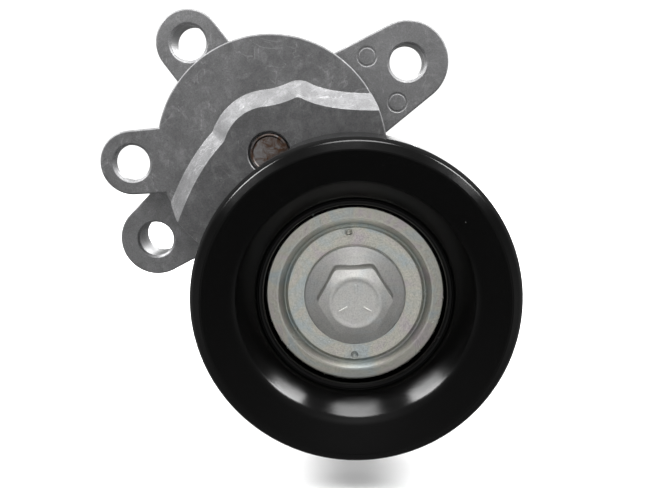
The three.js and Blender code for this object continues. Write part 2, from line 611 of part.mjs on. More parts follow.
// The pressed web: a shallow ring behind the rim's edge, then a dish down to the hub.
function pulleyWeb() {
  const outer = RIM_INNER - PRESS_GAP;
  const inner = HUB_RADIUS + PRESS_GAP;
  const outerY = PULLEY_FRONT_Y + RIM_BITE;
  const ring = BEARING.outer + DISH.ring;
  const ringY = PULLEY_FRONT_Y + DISH.ringDrop;
  const slopeY = PULLEY_FRONT_Y + DISH.slopeDrop;
  return turned([
    [outer, outerY], [outer, outerY + PULLEY_SHEET],
    [ring + PULLEY_SHEET / 2, ringY + PULLEY_SHEET],
    [inner + DISH.foot * PULLEY_SHEET, slopeY + PULLEY_SHEET],
    [inner, slopeY + DISH.back * PULLEY_SHEET],
    [inner, slopeY],
    [(inner + ring) / 2 + DISH.bow[0], (slopeY + ringY) / 2 + DISH.bow[1]],
    [ring - DISH.before[0], ringY + DISH.before[1]],
    [ring + DISH.after[0], ringY - DISH.after[1]],
  ], PULLEY_AXIS, PULLEY_ROUND);
}

// The hub: a sleeve round the bearing, with a front lip and a rear lip behind the ring.
function pulleyHub() {
  const lipFront = PULLEY_FRONT_Y + HUB_LIP.drop;
  const lip = BEARING.outer + HUB_LIP.beyond;
  const rearLip = BEARING.outer - REAR_LIP.reach;
  const rearLipFront = BEARING_REAR + REAR_LIP.gap;
  return turned([
    [HUB_SEAT, lipFront + HUB_LIP.half], [lip - HUB_LIP.half, lipFront], [lip + HUB_LIP.half, lipFront],
    [HUB_RADIUS, lipFront - HUB_LIP.half], [HUB_RADIUS, rearLipFront + REAR_LIP.reach],
    [rearLip, rearLipFront + REAR_LIP.reach], [rearLip, rearLipFront], [HUB_SEAT, rearLipFront],
  ], PULLEY_AXIS, PULLEY_ROUND);
}

// ---------------------------------------------------------------- placing

place('base_bracket', 'castAluminium', baseBracket());
place('pivot_bushing', 'polymer', pivotBushing());
place('rim_seal', 'sealRubber', rimSeal());
place('spring_seat', 'polymer', springSeat());

place('tension_arm', 'castAluminium', tensionArm());
place('pivot_shaft', 'shaftSteel', pivotShaft());
place('rear_washer', 'zincPlate', rearWasher());
place('retaining_ring', 'springSteel', retainingRing());
place('torsion_spring', 'springSteel', torsionSpring());
place('damper_shoe', 'polymer', damperShoe());
place('damper_spring', 'springSteel', damperSpring());
place('pulley_bolt', 'zincPlate', pulleyBolt());
place('dust_cover', 'zincPlate', dustCover());
place('rear_slinger', 'zincPlate', rearSlinger());
place('bearing_inner_ring', 'bearingSteel', bearingRing(BEARING.bore, INNER_LAND, -1));

place('pulley_rim', 'blackPaint', pulleyRim());
place('pulley_web', 'blackPaint', pulleyWeb());
place('pulley_hub', 'blackPaint', pulleyHub());
place('bearing_outer_ring', 'bearingSteel', bearingRing(BEARING.outer, OUTER_LAND, 1));
place('front_seal', 'sealRubber', bearingSeal(BEARING_FRONT + SEAL.inset));
place('rear_seal', 'sealRubber', bearingSeal(BEARING_REAR - SEAL.inset - SEAL.thickness));

place('ball_cage', 'cageNylon', ballCage());
for (let i = 0; i < BEARING.balls; i += 1) place(`ball_${i + 1}`, 'bearingSteel', ball(i));

export default assembly;
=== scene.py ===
"""Belt tensioner with a smooth idler pulley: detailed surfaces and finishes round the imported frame."""
import math

import bmesh
import bpy
import numpy as np
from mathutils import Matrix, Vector


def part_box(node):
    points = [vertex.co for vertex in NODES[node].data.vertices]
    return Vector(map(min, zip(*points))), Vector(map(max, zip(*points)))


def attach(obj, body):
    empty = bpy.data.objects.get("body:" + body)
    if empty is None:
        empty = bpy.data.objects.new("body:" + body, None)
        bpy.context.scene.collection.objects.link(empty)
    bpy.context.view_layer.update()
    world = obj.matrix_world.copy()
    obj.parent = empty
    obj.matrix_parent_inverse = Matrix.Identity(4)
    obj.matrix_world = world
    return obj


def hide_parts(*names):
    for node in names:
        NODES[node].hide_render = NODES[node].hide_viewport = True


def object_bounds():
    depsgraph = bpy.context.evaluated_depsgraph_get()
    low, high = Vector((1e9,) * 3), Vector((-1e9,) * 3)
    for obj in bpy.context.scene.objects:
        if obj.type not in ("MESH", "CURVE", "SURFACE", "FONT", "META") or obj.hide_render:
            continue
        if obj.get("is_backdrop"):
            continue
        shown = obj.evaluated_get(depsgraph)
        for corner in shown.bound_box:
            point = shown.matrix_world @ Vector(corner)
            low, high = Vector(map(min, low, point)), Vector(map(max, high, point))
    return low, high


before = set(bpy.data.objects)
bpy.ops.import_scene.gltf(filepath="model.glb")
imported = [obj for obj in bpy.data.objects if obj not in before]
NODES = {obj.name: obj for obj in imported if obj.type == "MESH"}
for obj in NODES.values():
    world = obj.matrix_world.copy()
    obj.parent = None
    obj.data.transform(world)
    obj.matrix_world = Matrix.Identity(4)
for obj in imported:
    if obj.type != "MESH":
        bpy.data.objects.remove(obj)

bl_info = {
    "name": "Belt tensioner idler",
    "version": (1, 0, 0),
    "blender": (4, 5, 0),
    "location": "View3D > Sidebar > Tensioner",
    "description": "Builds the visible pieces, finishes and studio of a belt tensioner",
    "category": "Add Mesh",
}

MM = 0.001
FULL = 2 * math.pi
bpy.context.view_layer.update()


# ------------------------------------------------------------------ places from the frame

def axis_of(node):
    """The middle of a CAD node's box, seen along Y."""
    low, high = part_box(node)
    centre = (low + high) / 2
    return centre.x, centre.z


def span(node):
    """The front and rear planes of a CAD node along Y."""
    low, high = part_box(node)
    return low.y, high.y


def radius_of(node):
    """Half the height of a round CAD node's box."""
    low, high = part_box(node)
    return (high.z - low.z) / 2


PIVOT = (0.0, 0.0)
PULLEY = PULLEY_X, PULLEY_Z = axis_of("pulley_rim")
PULLEY_FRONT, PULLEY_REAR = span("pulley_rim")
PULLEY_RADIUS = radius_of("pulley_rim")
ARM_ANGLE = math.degrees(math.atan2(PULLEY_Z, PULLEY_X))
BEARING_FRONT, BEARING_REAR = span("bearing_inner_ring")
COVER_CROWN = 0.5 * MM           # height of the cover's crest in front of its flat middle
COVER_FRONT = span("dust_cover")[0] + COVER_CROWN
COVER_REAR = span("dust_cover")[1]
COVER_RADIUS = radius_of("dust_cover")
BOLT_FRONT, BOLT_REAR = span("pulley_bolt")
BOLT_FLANGE = radius_of("pulley_bolt")
SHAFT_FRONT, SHAFT_REAR = span("pivot_shaft")
BASE_FRONT, BASE_REAR = span("base_bracket")

# planes of the castings along Y
EAR_FRONT = -10 * MM
CAP_BACK = -11.8 * MM
CAP_FRONT = -15 * MM
WEB_FRONT = -20 * MM
BOSS_FRONT = -23 * MM

REACH = 1 * MM                   # how far a cutter or a root reaches past a face
OVERLAP = 0.01 * MM              # keeps two faces from lying in one plane


# ------------------------------------------------------------------ sizes and colours

def length(name, default, description):
    """A length property, kept in metres and given here in millimetres."""
    return bpy.props.FloatProperty(
        name=name, default=default * MM, description=description, unit="LENGTH", precision=5)


def linear(code):
    """An sRGB hex colour as linear red, green, blue and alpha."""
    parts = [int(code[i:i + 2], 16) / 255 for i in (1, 3, 5)]
    return tuple(p / 12.92 if p <= 0.04045 else ((p + 0.055) / 1.055) ** 2.4 for p in parts) + (1.0,)


def colour(name, code, description):
    """A colour property from an sRGB hex value."""
    return bpy.props.FloatVectorProperty(
        name=name, default=linear(code), description=description, subtype="COLOR", size=4, min=0, max=1)


class TensionerPulleySizes(bpy.types.PropertyGroup):
    """Sizes of the pulley, its cover and its bolt."""
    edge: length("Edge rounding", 2.6, "Width of the rim's rounded front edge")
    sheet: length("Sheet", 2.3, "Thickness of the pulley's steel")
    ring_inner: length("Face ring", 26.0, "Radius where the front ring turns down into the dish")
    ring_drop: length("Ring drop", 3.0, "Depth of the front ring's inner edge")
    dish_inner: length("Dish foot", 21.9, "Radius at the foot of the dish")
    dish_drop: length("Dish depth", 8.2, "Depth of the dish's foot")
    hub_lip: length("Hub lip", 20.75, "Radius of the lip round the bearing")
    hub_drop: length("Hub drop", 9.3, "Depth of the hub's lip")
    seat: length("Bearing seat", 20.06, "Radius of the bearing's seat")
    hexagon: length("Hexagon", 14.0, "Width of the bolt's head across its flats")
    head: length("Head height", 7.6, "Height of the bolt's head with its flange")
    dimple: length("Dimple", 0.62, "Radius of the punched dimples in the cover")
    dimple_at: length("Dimple circle", 13.9, "Distance of the dimples from the axis")
    cover_bore: length("Cover bore", 5.3, "Radius of the cover's hole for the bolt")
    cover_hub: length("Cover hub", 11.8, "Radius of the cover's thicker hub")
    cover_flat: length("Cover flat", 14.8, "Radius of the cover's flat middle")
    cover_sheet: length("Cover sheet", 0.55, "Thickness of the cover")
    groove_from: length("Groove start", 15.25, "Inner radius of the cover's groove")
    groove_to: length("Groove end", 15.6, "Outer radius of the cover's groove")
    groove: length("Groove depth", 0.45, "Depth of the cover's groove")
    crest: length("Cover crest", 16.95, "Radius of the crest of the cover's rim")


class TensionerCastSizes(bpy.types.PropertyGroup):
    """Sizes of the cast arm and base."""
    cap: length("Cap radius", 27.8, "Radius of the arm's round cap")
    slope: length("Slope run", 3.9, "Width of the raised web's sloped side")
    crest: length("Hub crest", 10.95, "Radius of the raised web round the pivot")
    web_end: length("Web end", 13.5, "Radius of the arm's end behind the pulley")
    edge: length("Cast edge", 0.45, "Rounding of the castings' outer edges")
    hole: length("Bolt hole", 4.3, "Radius of the four bolt holes")
    chamfer: length("Hole chamfer", 0.55, "Chamfer of the bolt holes")
    cup: length("Cup radius", 27.3, "Radius of the base's cup")
    case_step: length("Case step", 1.6, "Step from the cup to the spring case behind it")
    mark: length("Ejector mark", 2.4, "Radius of the round ejector marks")
    mark_depth: length("Ejector mark depth", 0.1, "Depth of the groove round the ejector marks")
    seat: length("Bearing boss", 12.0, "Radius of the boss that the bearing sits on")
    spigot: length("Spigot", 8.44, "Radius of the spigot in the bearing")
    thread: length("Thread hole", 5.15, "Radius of the hole for the pulley's bolt")
    boss: length("Pivot boss", 9.0, "Radius of the boss behind the cap")
    mouth: length("Shaft mouth", 5.08, "Radius of the recess round the shaft's end")
    shaft_hole: length("Shaft hole", 4.66, "Radius of the hole for the shaft's neck")
    pocket: length("Pocket", 11.5, "Inner radius of the pockets behind the web")
    bore: length("Bushing bore", 7.24, "Radius of the hole for the bushing")
    hub_bore: length("Hub recess", 10.6, "Radius of the recess in the front of the hub")
    hub: length("Cup hub", 9.64, "Radius of the hub inside the cup")
    wall: length("Cup wall", 4.2, "Thickness of the cup's wall")


class TensionerColours(bpy.types.PropertyGroup):
    """Colours of the finishes."""
    cast: colour("Cast arm", "#848485", "Skin of the cast arm")
    cast_base: colour("Cast base", "#8E8E8F", "Skin of the cast base")
    cast_pale: colour("Cast pale", "#BEBEBF", "Paler flow marks and worn edges")
    paint: colour("Black paint", "#010101", "Gloss black on the pulley")
    zinc: colour("Zinc plate", "#E6E7E7", "Bright zinc plate")
    bolt: colour("Bolt zinc", "#E9E9E8", "Zinc plate on the forged bolt")
    passivate: colour("Passivate", "#EFE9CC", "Yellow tint in the zinc plate")
    steel: colour("Steel", "#B4B6B8", "Ground bearing steel")
    shaft: colour("Shaft", "#6E5444", "Oily brown turned steel")
    dark_steel: colour("Spring steel", "#5A5B5E", "Oil-tempered spring steel")
    rubber: colour("Rubber", "#151515", "Black nitrile rubber")
    polymer: colour("Polymer", "#2C2B28", "Filled black polymer")
    nylon: colour("Nylon", "#CBBC98", "Natural glass-filled nylon")
    floor: colour("Floor", "#FBFBFB", "Studio floor")


# ------------------------------------------------------------------ surfaces

def rounded(corners, steps=6):
    """A profile with its corners rounded. Each corner is (radius, y, fillet); a fillet leaves both
    sides at fillet / tan(half the corner's angle) and follows a circular arc between them."""
    points = []
    total = len(corners)
    for i, (r, y, fillet) in enumerate(corners):
        here = np.array([r, y])
        before = np.array(corners[i - 1][:2]) - here
        after = np.array(corners[(i + 1) % total][:2]) - here
        a, b = before / np.linalg.norm(before), after / np.linalg.norm(after)
        half = math.acos(np.clip(a @ b, -1, 1)) / 2
        nearly_straight, most = math.radians(89), 0.49
        if fillet <= 0 or half > nearly_straight:
            points.append(here)
            continue
        room = most * min(np.linalg.norm(before), np.linalg.norm(after))
        reach = min(fillet / math.tan(half), room)
        size = reach * math.tan(half)
        bisector = (a + b) / np.linalg.norm(a + b)
        centre = here + bisector * size / math.sin(half)
        start, end = here + a * reach - centre, here + b * reach - centre
        turn = math.atan2(start[0] * end[1] - start[1] * end[0], start @ end)
        t = np.linspace(0, turn, steps + 1)
        cos, sin = np.cos(t), np.sin(t)
        swept = [start[0] * cos - start[1] * sin, start[0] * sin + start[1] * cos]
        points.extend(centre + np.stack(swept, -1))
    return np.array(points)


def finer(profile, step):
    """The profile with points added so that no side is longer than step."""
    out = []
    for a, b in zip(profile, np.roll(profile, -1, axis=0)):
        count = max(1, int(np.ceil(np.linalg.norm(b - a) / step)))
        out.append(a + (b - a) * np.linspace(0, 1, count, endpoint=False)[:, None])
    return np.concatenate(out)


def grid_mesh(name, points, close_rows=True, flat_ends=False):
    """A mesh from a grid of points, wrapped along its columns and, if asked, along its rows, or
    with its first and last rows filled in as flat ends."""
    rows, columns = points.shape[:2]
    at = np.arange(rows * columns).reshape(rows, columns)
    low, high = (at, np.roll(at, -1, 0)) if close_rows else (at[:-1], at[1:])
    faces = np.stack([low, np.roll(low, -1, 1), np.roll(high, -1, 1), high], -1).reshape(-1, 4).tolist()
    if flat_ends:
        faces += [at[0].tolist(), at[-1].tolist()]
    mesh = bpy.data.meshes.new(name)
    mesh.from_pydata(points.reshape(-1, 3).tolist(), [], faces)
    clean(mesh)
    return mesh


def clean(mesh, outward=True):
    """Merges coincident points, drops empty faces and turns the faces outwards."""
    work = bmesh.new()
    work.from_mesh(mesh)
    bmesh.ops.remove_doubles(work, verts=work.verts, dist=2e-7)
    bmesh.ops.dissolve_degenerate(work, edges=work.edges, dist=1e-8)
    if outward:
        bmesh.ops.recalc_face_normals(work, faces=work.faces)
    work.to_mesh(mesh)
    work.free()


def piece(name, mesh, angle):
    """An object at the origin for a mesh, smooth apart from edges sharper than the angle."""
    mesh.name = name
    mesh.polygons.foreach_set("use_smooth", np.ones(len(mesh.polygons), bool))
    mesh.set_sharp_from_angle(angle=math.radians(angle))
    made = bpy.data.objects.new(name, mesh)
    bpy.context.scene.collection.objects.link(made)
    weighted = made.modifiers.new("Weighted normals", "WEIGHTED_NORMAL")
    weighted.keep_sharp = True
    return made


def turned(name, profile, centre, segments, lift=None):
    """A surface of revolution about Y: point (r, y) of the profile goes to
    centre + (r cos t, y, r sin t), with y changed by lift(r, t) where a lift is given."""
    t = np.linspace(0, FULL, segments, endpoint=False)
    r, y = np.asarray(profile)[:, 0][:, None], np.asarray(profile)[:, 1][:, None]
    depth = y + (lift(r, y, t[None, :]) if lift else 0)
    x = centre[0] + r * np.cos(t)
    z = centre[1] + r * np.sin(t)
    return grid_mesh(name, np.stack([x, np.broadcast_to(depth, x.shape), z], -1))


def arc(centre, radius, start, end, count):
    """Points on a circle from one angle to another in degrees."""
    t = np.radians(np.linspace(start, end, count))
    return np.stack([centre[0] + radius * np.cos(t), centre[1] + radius * np.sin(t)], -1)


def curve(a, control, b, count):
    """Points on a quadratic curve: (1-t)^2 a + 2t(1-t) control + t^2 b."""
    t = np.linspace(0, 1, count)[:, None]
    a, control, b = (np.array(p) for p in (a, control, b))
    return (1 - t) ** 2 * a + 2 * t * (1 - t) * control + t ** 2 * b


def strap(a, ra, b, rb, count=96):
    """The outline round two circles and the two straight lines that touch both."""
    along = math.degrees(math.atan2(b[1] - a[1], b[0] - a[0]))
    lean = math.degrees(math.acos((ra - rb) / math.hypot(b[0] - a[0], b[1] - a[1])))
    far = arc(a, ra, along + lean, along + 360 - lean, count)
    near = arc(b, rb, along - lean, along + lean, count)
    return np.concatenate([far, near])


def offset(outline, distance):
    """The outline moved outwards: each point moves along the sum of its sides' normals over one
    plus their product, which keeps every side parallel to itself."""
    side = np.roll(outline, -1, 0) - outline
    side /= np.linalg.norm(side, axis=1)[:, None]
    normal = np.stack([side[:, 1], -side[:, 0]], -1)
    area = np.sum(outline[:, 0] * np.roll(outline[:, 1], -1) - np.roll(outline[:, 0], -1) * outline[:, 1])
    normal *= np.sign(area)
    before = np.roll(normal, 1, 0)
    mitre = (before + normal) / (1 + np.sum(before * normal, 1))[:, None]
    return outline + distance * mitre


def without_repeats(outline):
    """The outline with points that coincide with the one before them left out."""
    keep = np.linalg.norm(outline - np.roll(outline, 1, 0), axis=1) > 1e-6
    return outline[keep]


def layers(name, outlines, planes):
    """A solid from stacked outlines, each on its own plane along Y, with flat ends."""
    points = np.stack([np.stack([o[:, 0], np.full(len(o), y), o[:, 1]], -1)
                       for o, y in zip(outlines, planes)])
    return grid_mesh(name, points, close_rows=False, flat_ends=True)


def plate(name, outline, front, rear, edge, rear_edge=None):
    """A thick outline whose front and rear edges are quarter rounds: at angle t of a round the
    outline is drawn in by edge (1 - sin t) at a depth of edge (1 - cos t)."""
    outline = without_repeats(outline)
    rear_edge = edge if rear_edge is None else rear_edge
    steps = 4
    t = np.linspace(0, math.pi / 2, steps + 1)
    inset = [e * (1 - np.sin(t)) for e in (edge, rear_edge)]
    depth = [e * (1 - np.cos(t)) for e in (edge, rear_edge)]
    shapes = [offset(outline, -i) for i in inset[0]] + [offset(outline, -i) for i in inset[1][::-1]]
    planes = [front + d for d in depth[0]] + [rear - d for d in depth[1][::-1]]
    if edge <= 0:
        shapes, planes = shapes[steps:], planes[steps:]
    if rear_edge <= 0:
        shapes, planes = shapes[:-steps], planes[:-steps]
    return layers(name, shapes, planes)


def combine(mesh, *steps):
    """The mesh joined with, cut by or kept inside others: each step is (operation, mesh)."""
    scene = bpy.context.scene.collection
    body = bpy.data.objects.new("work", mesh)
    scene.objects.link(body)
    tools = []
    for operation, other in steps:
        tool = bpy.data.objects.new("tool", other)
        scene.objects.link(tool)
        tools.append(tool)
        modifier = body.modifiers.new("Boolean", "BOOLEAN")
        modifier.object, modifier.operation, modifier.solver = tool, operation, "MANIFOLD"
    bpy.context.view_layer.update()
    evaluated = body.evaluated_get(bpy.context.evaluated_depsgraph_get())
    made = bpy.data.meshes.new_from_object(evaluated)
    for thing in (body, *tools):
        data = thing.data
        bpy.data.objects.remove(thing)
        bpy.data.meshes.remove(data)
    clean(made, outward=False)
    return made


def hole_cutter(centre, radius, front, rear, chamfer):
    """A bar through a hole that opens out by the chamfer at both faces."""
    wide = radius + chamfer + REACH
    profile = [(0, front - REACH), (wide, front - REACH), (radius, front + chamfer),
               (radius, rear - chamfer), (wide, rear + REACH), (0, rear + REACH)]
    return turned("hole", profile, centre, 96)


def bar(centre, radius, front, rear):
    """A plain bar along Y, as a cutter or a core."""
    return turned("bar", [(0, front), (radius, front), (radius, rear), (0, rear)], centre, 128)


def tube(centre, inner, outer, front, rear):
    """A plain tube along Y."""
    return turned("tube", [(inner, front), (outer, front), (outer, rear), (inner, rear)], centre, 160)


# ------------------------------------------------------------------ materials

def add(tree, kind, settings=None, links=None):
    """Adds a shader node, sets its attributes and sockets, and links its inputs."""
    made = tree.nodes.new(kind)
    for key, value in (settings or {}).items():
        if isinstance(key, str) and hasattr(made, key):
            setattr(made, key, value)
        else:
            made.inputs[key].default_value = value
    for key, source in (links or {}).items():
        tree.links.new(source, made.inputs[key])
    return made


def new_material(name, view):
    """An empty node material with its output and a colour for the viewport."""
    made = bpy.data.materials.new(name)
    made.use_nodes = True
    made.diffuse_color = view
    made.node_tree.nodes.clear()
    return made, made.node_tree


def object_point(tree, centre=(0.0, 0.0)):
    """Object coordinates in millimetres, counted from an axis along Y."""
    source = add(tree, "ShaderNodeTexCoord")
    return add(tree, "ShaderNodeMapping", {
        "Location": (-centre[0] / MM, 0, -centre[1] / MM), "Scale": (1 / MM, 1 / MM, 1 / MM),
    }, {"Vector": source.outputs["Object"]}).outputs["Vector"]


def ramp(tree, source, stops):
    """A ramp on a source: each stop is a position with a grey value or a colour."""
    made = add(tree, "ShaderNodeValToRGB", {}, {"Fac": source})
    stops = [(at, value if hasattr(value, "__len__") else (value, value, value, 1)) for at, value in stops]
    elements = made.color_ramp.elements
    elements[0].position, elements[0].color = stops[0]
    elements[1].position, elements[1].color = stops[-1]
    for position, value in stops[1:-1]:
        elements.new(position).color = value
    return made.outputs["Color"]


def noise(tree, point, size, detail=2.0, roughness=0.5, distortion=0.0, stretch=None):
    """Noise whose features are about size millimetres, stretched along the axes if asked."""
    if stretch:
        point = add(tree, "ShaderNodeMapping", {"Scale": stretch}, {"Vector": point}).outputs["Vector"]
    return add(tree, "ShaderNodeTexNoise", {
        "Scale": 1 / size, "Detail": detail, "Roughness": roughness, "Distortion": distortion,
    }, {"Vector": point}).outputs["Fac"]


def math_node(tree, operation, a, b=0.0, c=0.0, clamp=False):
    """One arithmetic step on up to three sockets or numbers."""
    made = add(tree, "ShaderNodeMath", {"operation": operation, "use_clamp": clamp})
    for index, value in enumerate((a, b, c)):
        if isinstance(value, (int, float)):
            made.inputs[index].default_value = value
        else:
            tree.links.new(value, made.inputs[index])
    return made.outputs[0]


def mix(tree, factor, a, b, blend="MIX"):
    """A colour mix of two sockets or colours."""
    made = add(tree, "ShaderNodeMix", {"data_type": "RGBA", "blend_type": blend})
    for socket, value in ((made.inputs[0], factor), (made.inputs[6], a), (made.inputs[7], b)):
        if isinstance(value, (int, float)) or hasattr(value, "__len__"):
            socket.default_value = value
        else:
            tree.links.new(value, socket)
    return made.outputs[2]


def shade(tree, base, *layers):
    """The base colour multiplied by layers, each given as its share and its colour."""
    for share, layer in layers:
        base = mix(tree, share, base, layer, "MULTIPLY")
    return base


def grey(value):
    """A grey as a colour."""
    return value, value, value, 1


def around_axis(tree, point):
    """The distance from the axis along Y, and a point of that distance and the depth, on which
    noise runs in rings."""
    split = add(tree, "ShaderNodeSeparateXYZ", {}, {"Vector": point})
    flat = add(tree, "ShaderNodeCombineXYZ", {}, {"X": split.outputs["X"], "Y": split.outputs["Z"]})
    reach = add(tree, "ShaderNodeVectorMath", {"operation": "LENGTH"}, {0: flat.outputs["Vector"]})
    reach = reach.outputs["Value"]
    along = add(tree, "ShaderNodeCombineXYZ", {}, {"X": reach, "Y": split.outputs["Y"]})
    return reach, along.outputs["Vector"]


def edge_mask(tree, width):
    """Bright where an edge lies within width millimetres: one less the product of the plain
    normal and the normal rounded over that width."""
    soft = add(tree, "ShaderNodeBevel", {"samples": 6, "Radius": width * MM})
    plain = add(tree, "ShaderNodeNewGeometry")
    product = add(tree, "ShaderNodeVectorMath", {"operation": "DOT_PRODUCT"}, {
        0: soft.outputs["Normal"], 1: plain.outputs["Normal"]})
    return math_node(tree, "SUBTRACT", 1.0, product.outputs["Value"], clamp=True)


def finish_material(tree, settings, links, bumps=(), base_normal=None):
    """The principled shader with its bumps: each bump is (height socket, millimetres, strength)."""
    normal = base_normal
    for height, distance, strength in bumps:
        bump = add(tree, "ShaderNodeBump", {"Distance": distance * MM, "Strength": strength},
                   {"Height": height})
        if normal is not None:
            tree.links.new(normal, bump.inputs["Normal"])
        normal = bump.outputs["Normal"]
    if normal is not None:
        links = {**links, "Normal": normal}
    shader = add(tree, "ShaderNodeBsdfPrincipled", settings, links)
    add(tree, "ShaderNodeOutputMaterial", {}, {"Surface": shader.outputs["BSDF"]})


def die_cast_aluminium(name, cast, pale, flow_size, flat_painted_shade, raised_painted_shade=None):
    """Pressure die-cast aluminium, as cast: a matt grey skin with cloudy flow marks, a fine grain
    from the die, thin wandering flow lines, sparse handling scratches, and a paler colour near the
    edges. Painted shade darkens faces that look along Y against sloped ones, raised ones the most."""
    made, tree = new_material(name, cast)
    point = object_point(tree)
    cloud = ramp(tree, noise(tree, point, flow_size, 5, 0.6, 1.2), [(0.42, 0), (0.66, 1)])
    patch = ramp(tree, noise(tree, point, flow_size * 0.4, 7, 0.68, 0.8), [(0.52, 0), (0.6, 1)])
    stain = ramp(tree, noise(tree, point, flow_size * 0.7, 6, 0.66, 1.0), [(0.3, 0.82), (0.52, 1.0)])
    grain = noise(tree, point, 0.28, 3, 0.6)
    speckle = ramp(tree, grain, [(0.28, 0.62), (0.72, 1.25)])
    pits = ramp(tree, noise(tree, point, 0.55, 2, 0.5), [(0.22, 0), (0.34, 1)])
    drag = ramp(tree, noise(tree, point, 0.5, 2, 0.5, 0.25, (1.0, 1.0, 0.06)), [(0.63, 0), (0.66, 1)])
    scratch = math_node(tree, "MULTIPLY", drag, patch)
    # a paler colour within about a third of a millimetre of every edge
    edges = ramp(tree, edge_mask(tree, 0.35), [(0.02, 0), (0.22, 1)])
    wander = math_node(tree, "SUBTRACT", noise(tree, point, 16.0, 4, 0.62, 0.9), 0.5)
    line = ramp(tree, math_node(tree, "ABSOLUTE", wander), [(0.0, 1), (0.012, 0)])
    vein = math_node(tree, "MULTIPLY", line, ramp(tree, noise(tree, point, 6.0, 2), [(0.5, 0), (0.6, 1)]))
    mottle = 0.0
    for layer, weight in ((cloud, 0.2), (patch, 0.2), (scratch, 0.45), (vein, 0.4), (edges, 0.7)):
        mottle = math_node(tree, "MULTIPLY_ADD", layer, weight, mottle, clamp=True)
    # painted shade: faces that look along Y are darkened by flat_painted_shade
    facing = add(tree, "ShaderNodeSeparateXYZ", {}, {
        "Vector": add(tree, "ShaderNodeNewGeometry").outputs["Normal"]}).outputs["Y"]
    flat = ramp(tree, math_node(tree, "ABSOLUTE", facing), [(0.9, 0), (0.98, 1)])
    base = shade(tree, mix(tree, mottle, cast, pale), (0.65, speckle), (0.35, pits), (1.0, stain),
                 (flat, grey(flat_painted_shade)))
    # painted shade: the raised web's front face is darkened further
    if raised_painted_shade:
        depth = add(tree, "ShaderNodeSeparateXYZ", {}, {"Vector": point}).outputs["Y"]
        raised = math_node(tree, "MULTIPLY", flat, math_node(tree, "LESS_THAN", depth, WEB_FRONT / MM + 0.5))
        base = shade(tree, base, (raised, grey(raised_painted_shade)))
    rough = ramp(tree, mottle, [(0.0, 0.6), (0.6, 0.48)])
    finish_material(tree, {"Metallic": 0.92}, {"Base Color": base, "Roughness": rough},
                    [(grain, 0.05, 0.35), (cloud, 0.08, 0.15), (scratch, 0.02, 0.4)],
                    add(tree, "ShaderNodeBevel", {"samples": 6, "Radius": 0.25 * MM}).outputs["Normal"])
    return made


def gloss_black_paint(name, paint):
    """Dipped and baked black paint over spun steel: a deep gloss with a faint orange peel, faint
    turning lines showing through, and a few specks of dust."""
    made, tree = new_material(name, paint)
    point = object_point(tree, PULLEY)
    peel = noise(tree, point, 1.6, 2, 0.5)
    haze = noise(tree, point, 0.35, 3, 0.7)
    film = noise(tree, point, 7.0, 3, 0.55)
    speck = add(tree, "ShaderNodeTexVoronoi", {"Scale": 1 / 2.6, "Randomness": 1.0}, {"Vector": point})
    dust = math_node(tree, "MULTIPLY", ramp(tree, speck.outputs["Distance"], [(0.02, 1), (0.035, 0)]),
                     ramp(tree, noise(tree, point, 5.0), [(0.6, 0), (0.64, 1)]))
    base = mix(tree, dust, paint, grey(0.2))
    rough = math_node(tree, "MULTIPLY_ADD", dust, 0.4, ramp(tree, film, [(0.3, 0.13), (0.7, 0.2)]))
    finish_material(tree, {"Metallic": 0.0, "IOR": 1.52, "Specular IOR Level": 0.18},
                    {"Base Color": base, "Roughness": rough},
                    [(peel, 0.03, 0.14), (haze, 0.012, 0.3), (dust, 0.03, 0.5)])
    return made


def bright_zinc_plate(name, zinc, passivate, line, rough, tint, groove_shade=None, metallic=0.94):
    """Electroplated zinc with a clear passivate on pressed or forged steel: bright, a little
    cloudy, with fine lines round the axis and a faint yellow, pink and blue bloom. Where a pair of
    radii is given, the colour between them is darker and greener: painted shade, tinted green, in a groove."""
    made, tree = new_material(name, zinc)
    point = object_point(tree, PULLEY)
    reach, in_rings = around_axis(tree, point)
    lines = noise(tree, in_rings, line, 3, 0.7)
    cloud = noise(tree, point, 5.5, 4, 0.6, 0.8)
    grain = noise(tree, point, 0.3, 3, 0.65)
    bloom = ramp(tree, noise(tree, point, 9.0, 2, 0.5, 1.5),
                 [(0.32, linear("#CDE0E0")), (0.5, passivate), (0.68, linear("#E6CFD2"))])
    base = shade(tree, zinc, (tint, bloom), (0.35, ramp(tree, lines, [(0.2, 0.72), (0.8, 1.1)])),
                 (0.3, ramp(tree, cloud, [(0.25, 0.78), (0.75, 1.1)])),
                 (0.5, ramp(tree, grain, [(0.3, 0.62), (0.6, 1.1)])))
    if groove_shade:
        inner, outer = groove_shade
        # painted shade: darker and greener between the two radii
        away = math_node(tree, "ABSOLUTE", math_node(tree, "SUBTRACT", reach, (inner + outer) / 2))
        inside = ramp(tree, math_node(tree, "DIVIDE", away, outer - inner), [(0.15, 1), (0.75, 0)])
        base = shade(tree, base, (math_node(tree, "MULTIPLY", inside, 0.6), linear("#7E8C8C")))
    finish_material(tree, {"Metallic": metallic},
                    {"Base Color": base, "Roughness": ramp(tree, cloud, [(0.3, rough[0]), (0.7, rough[1])])},
                    [(lines, 0.012, 0.15), (grain, 0.022, 0.4)])
    return made


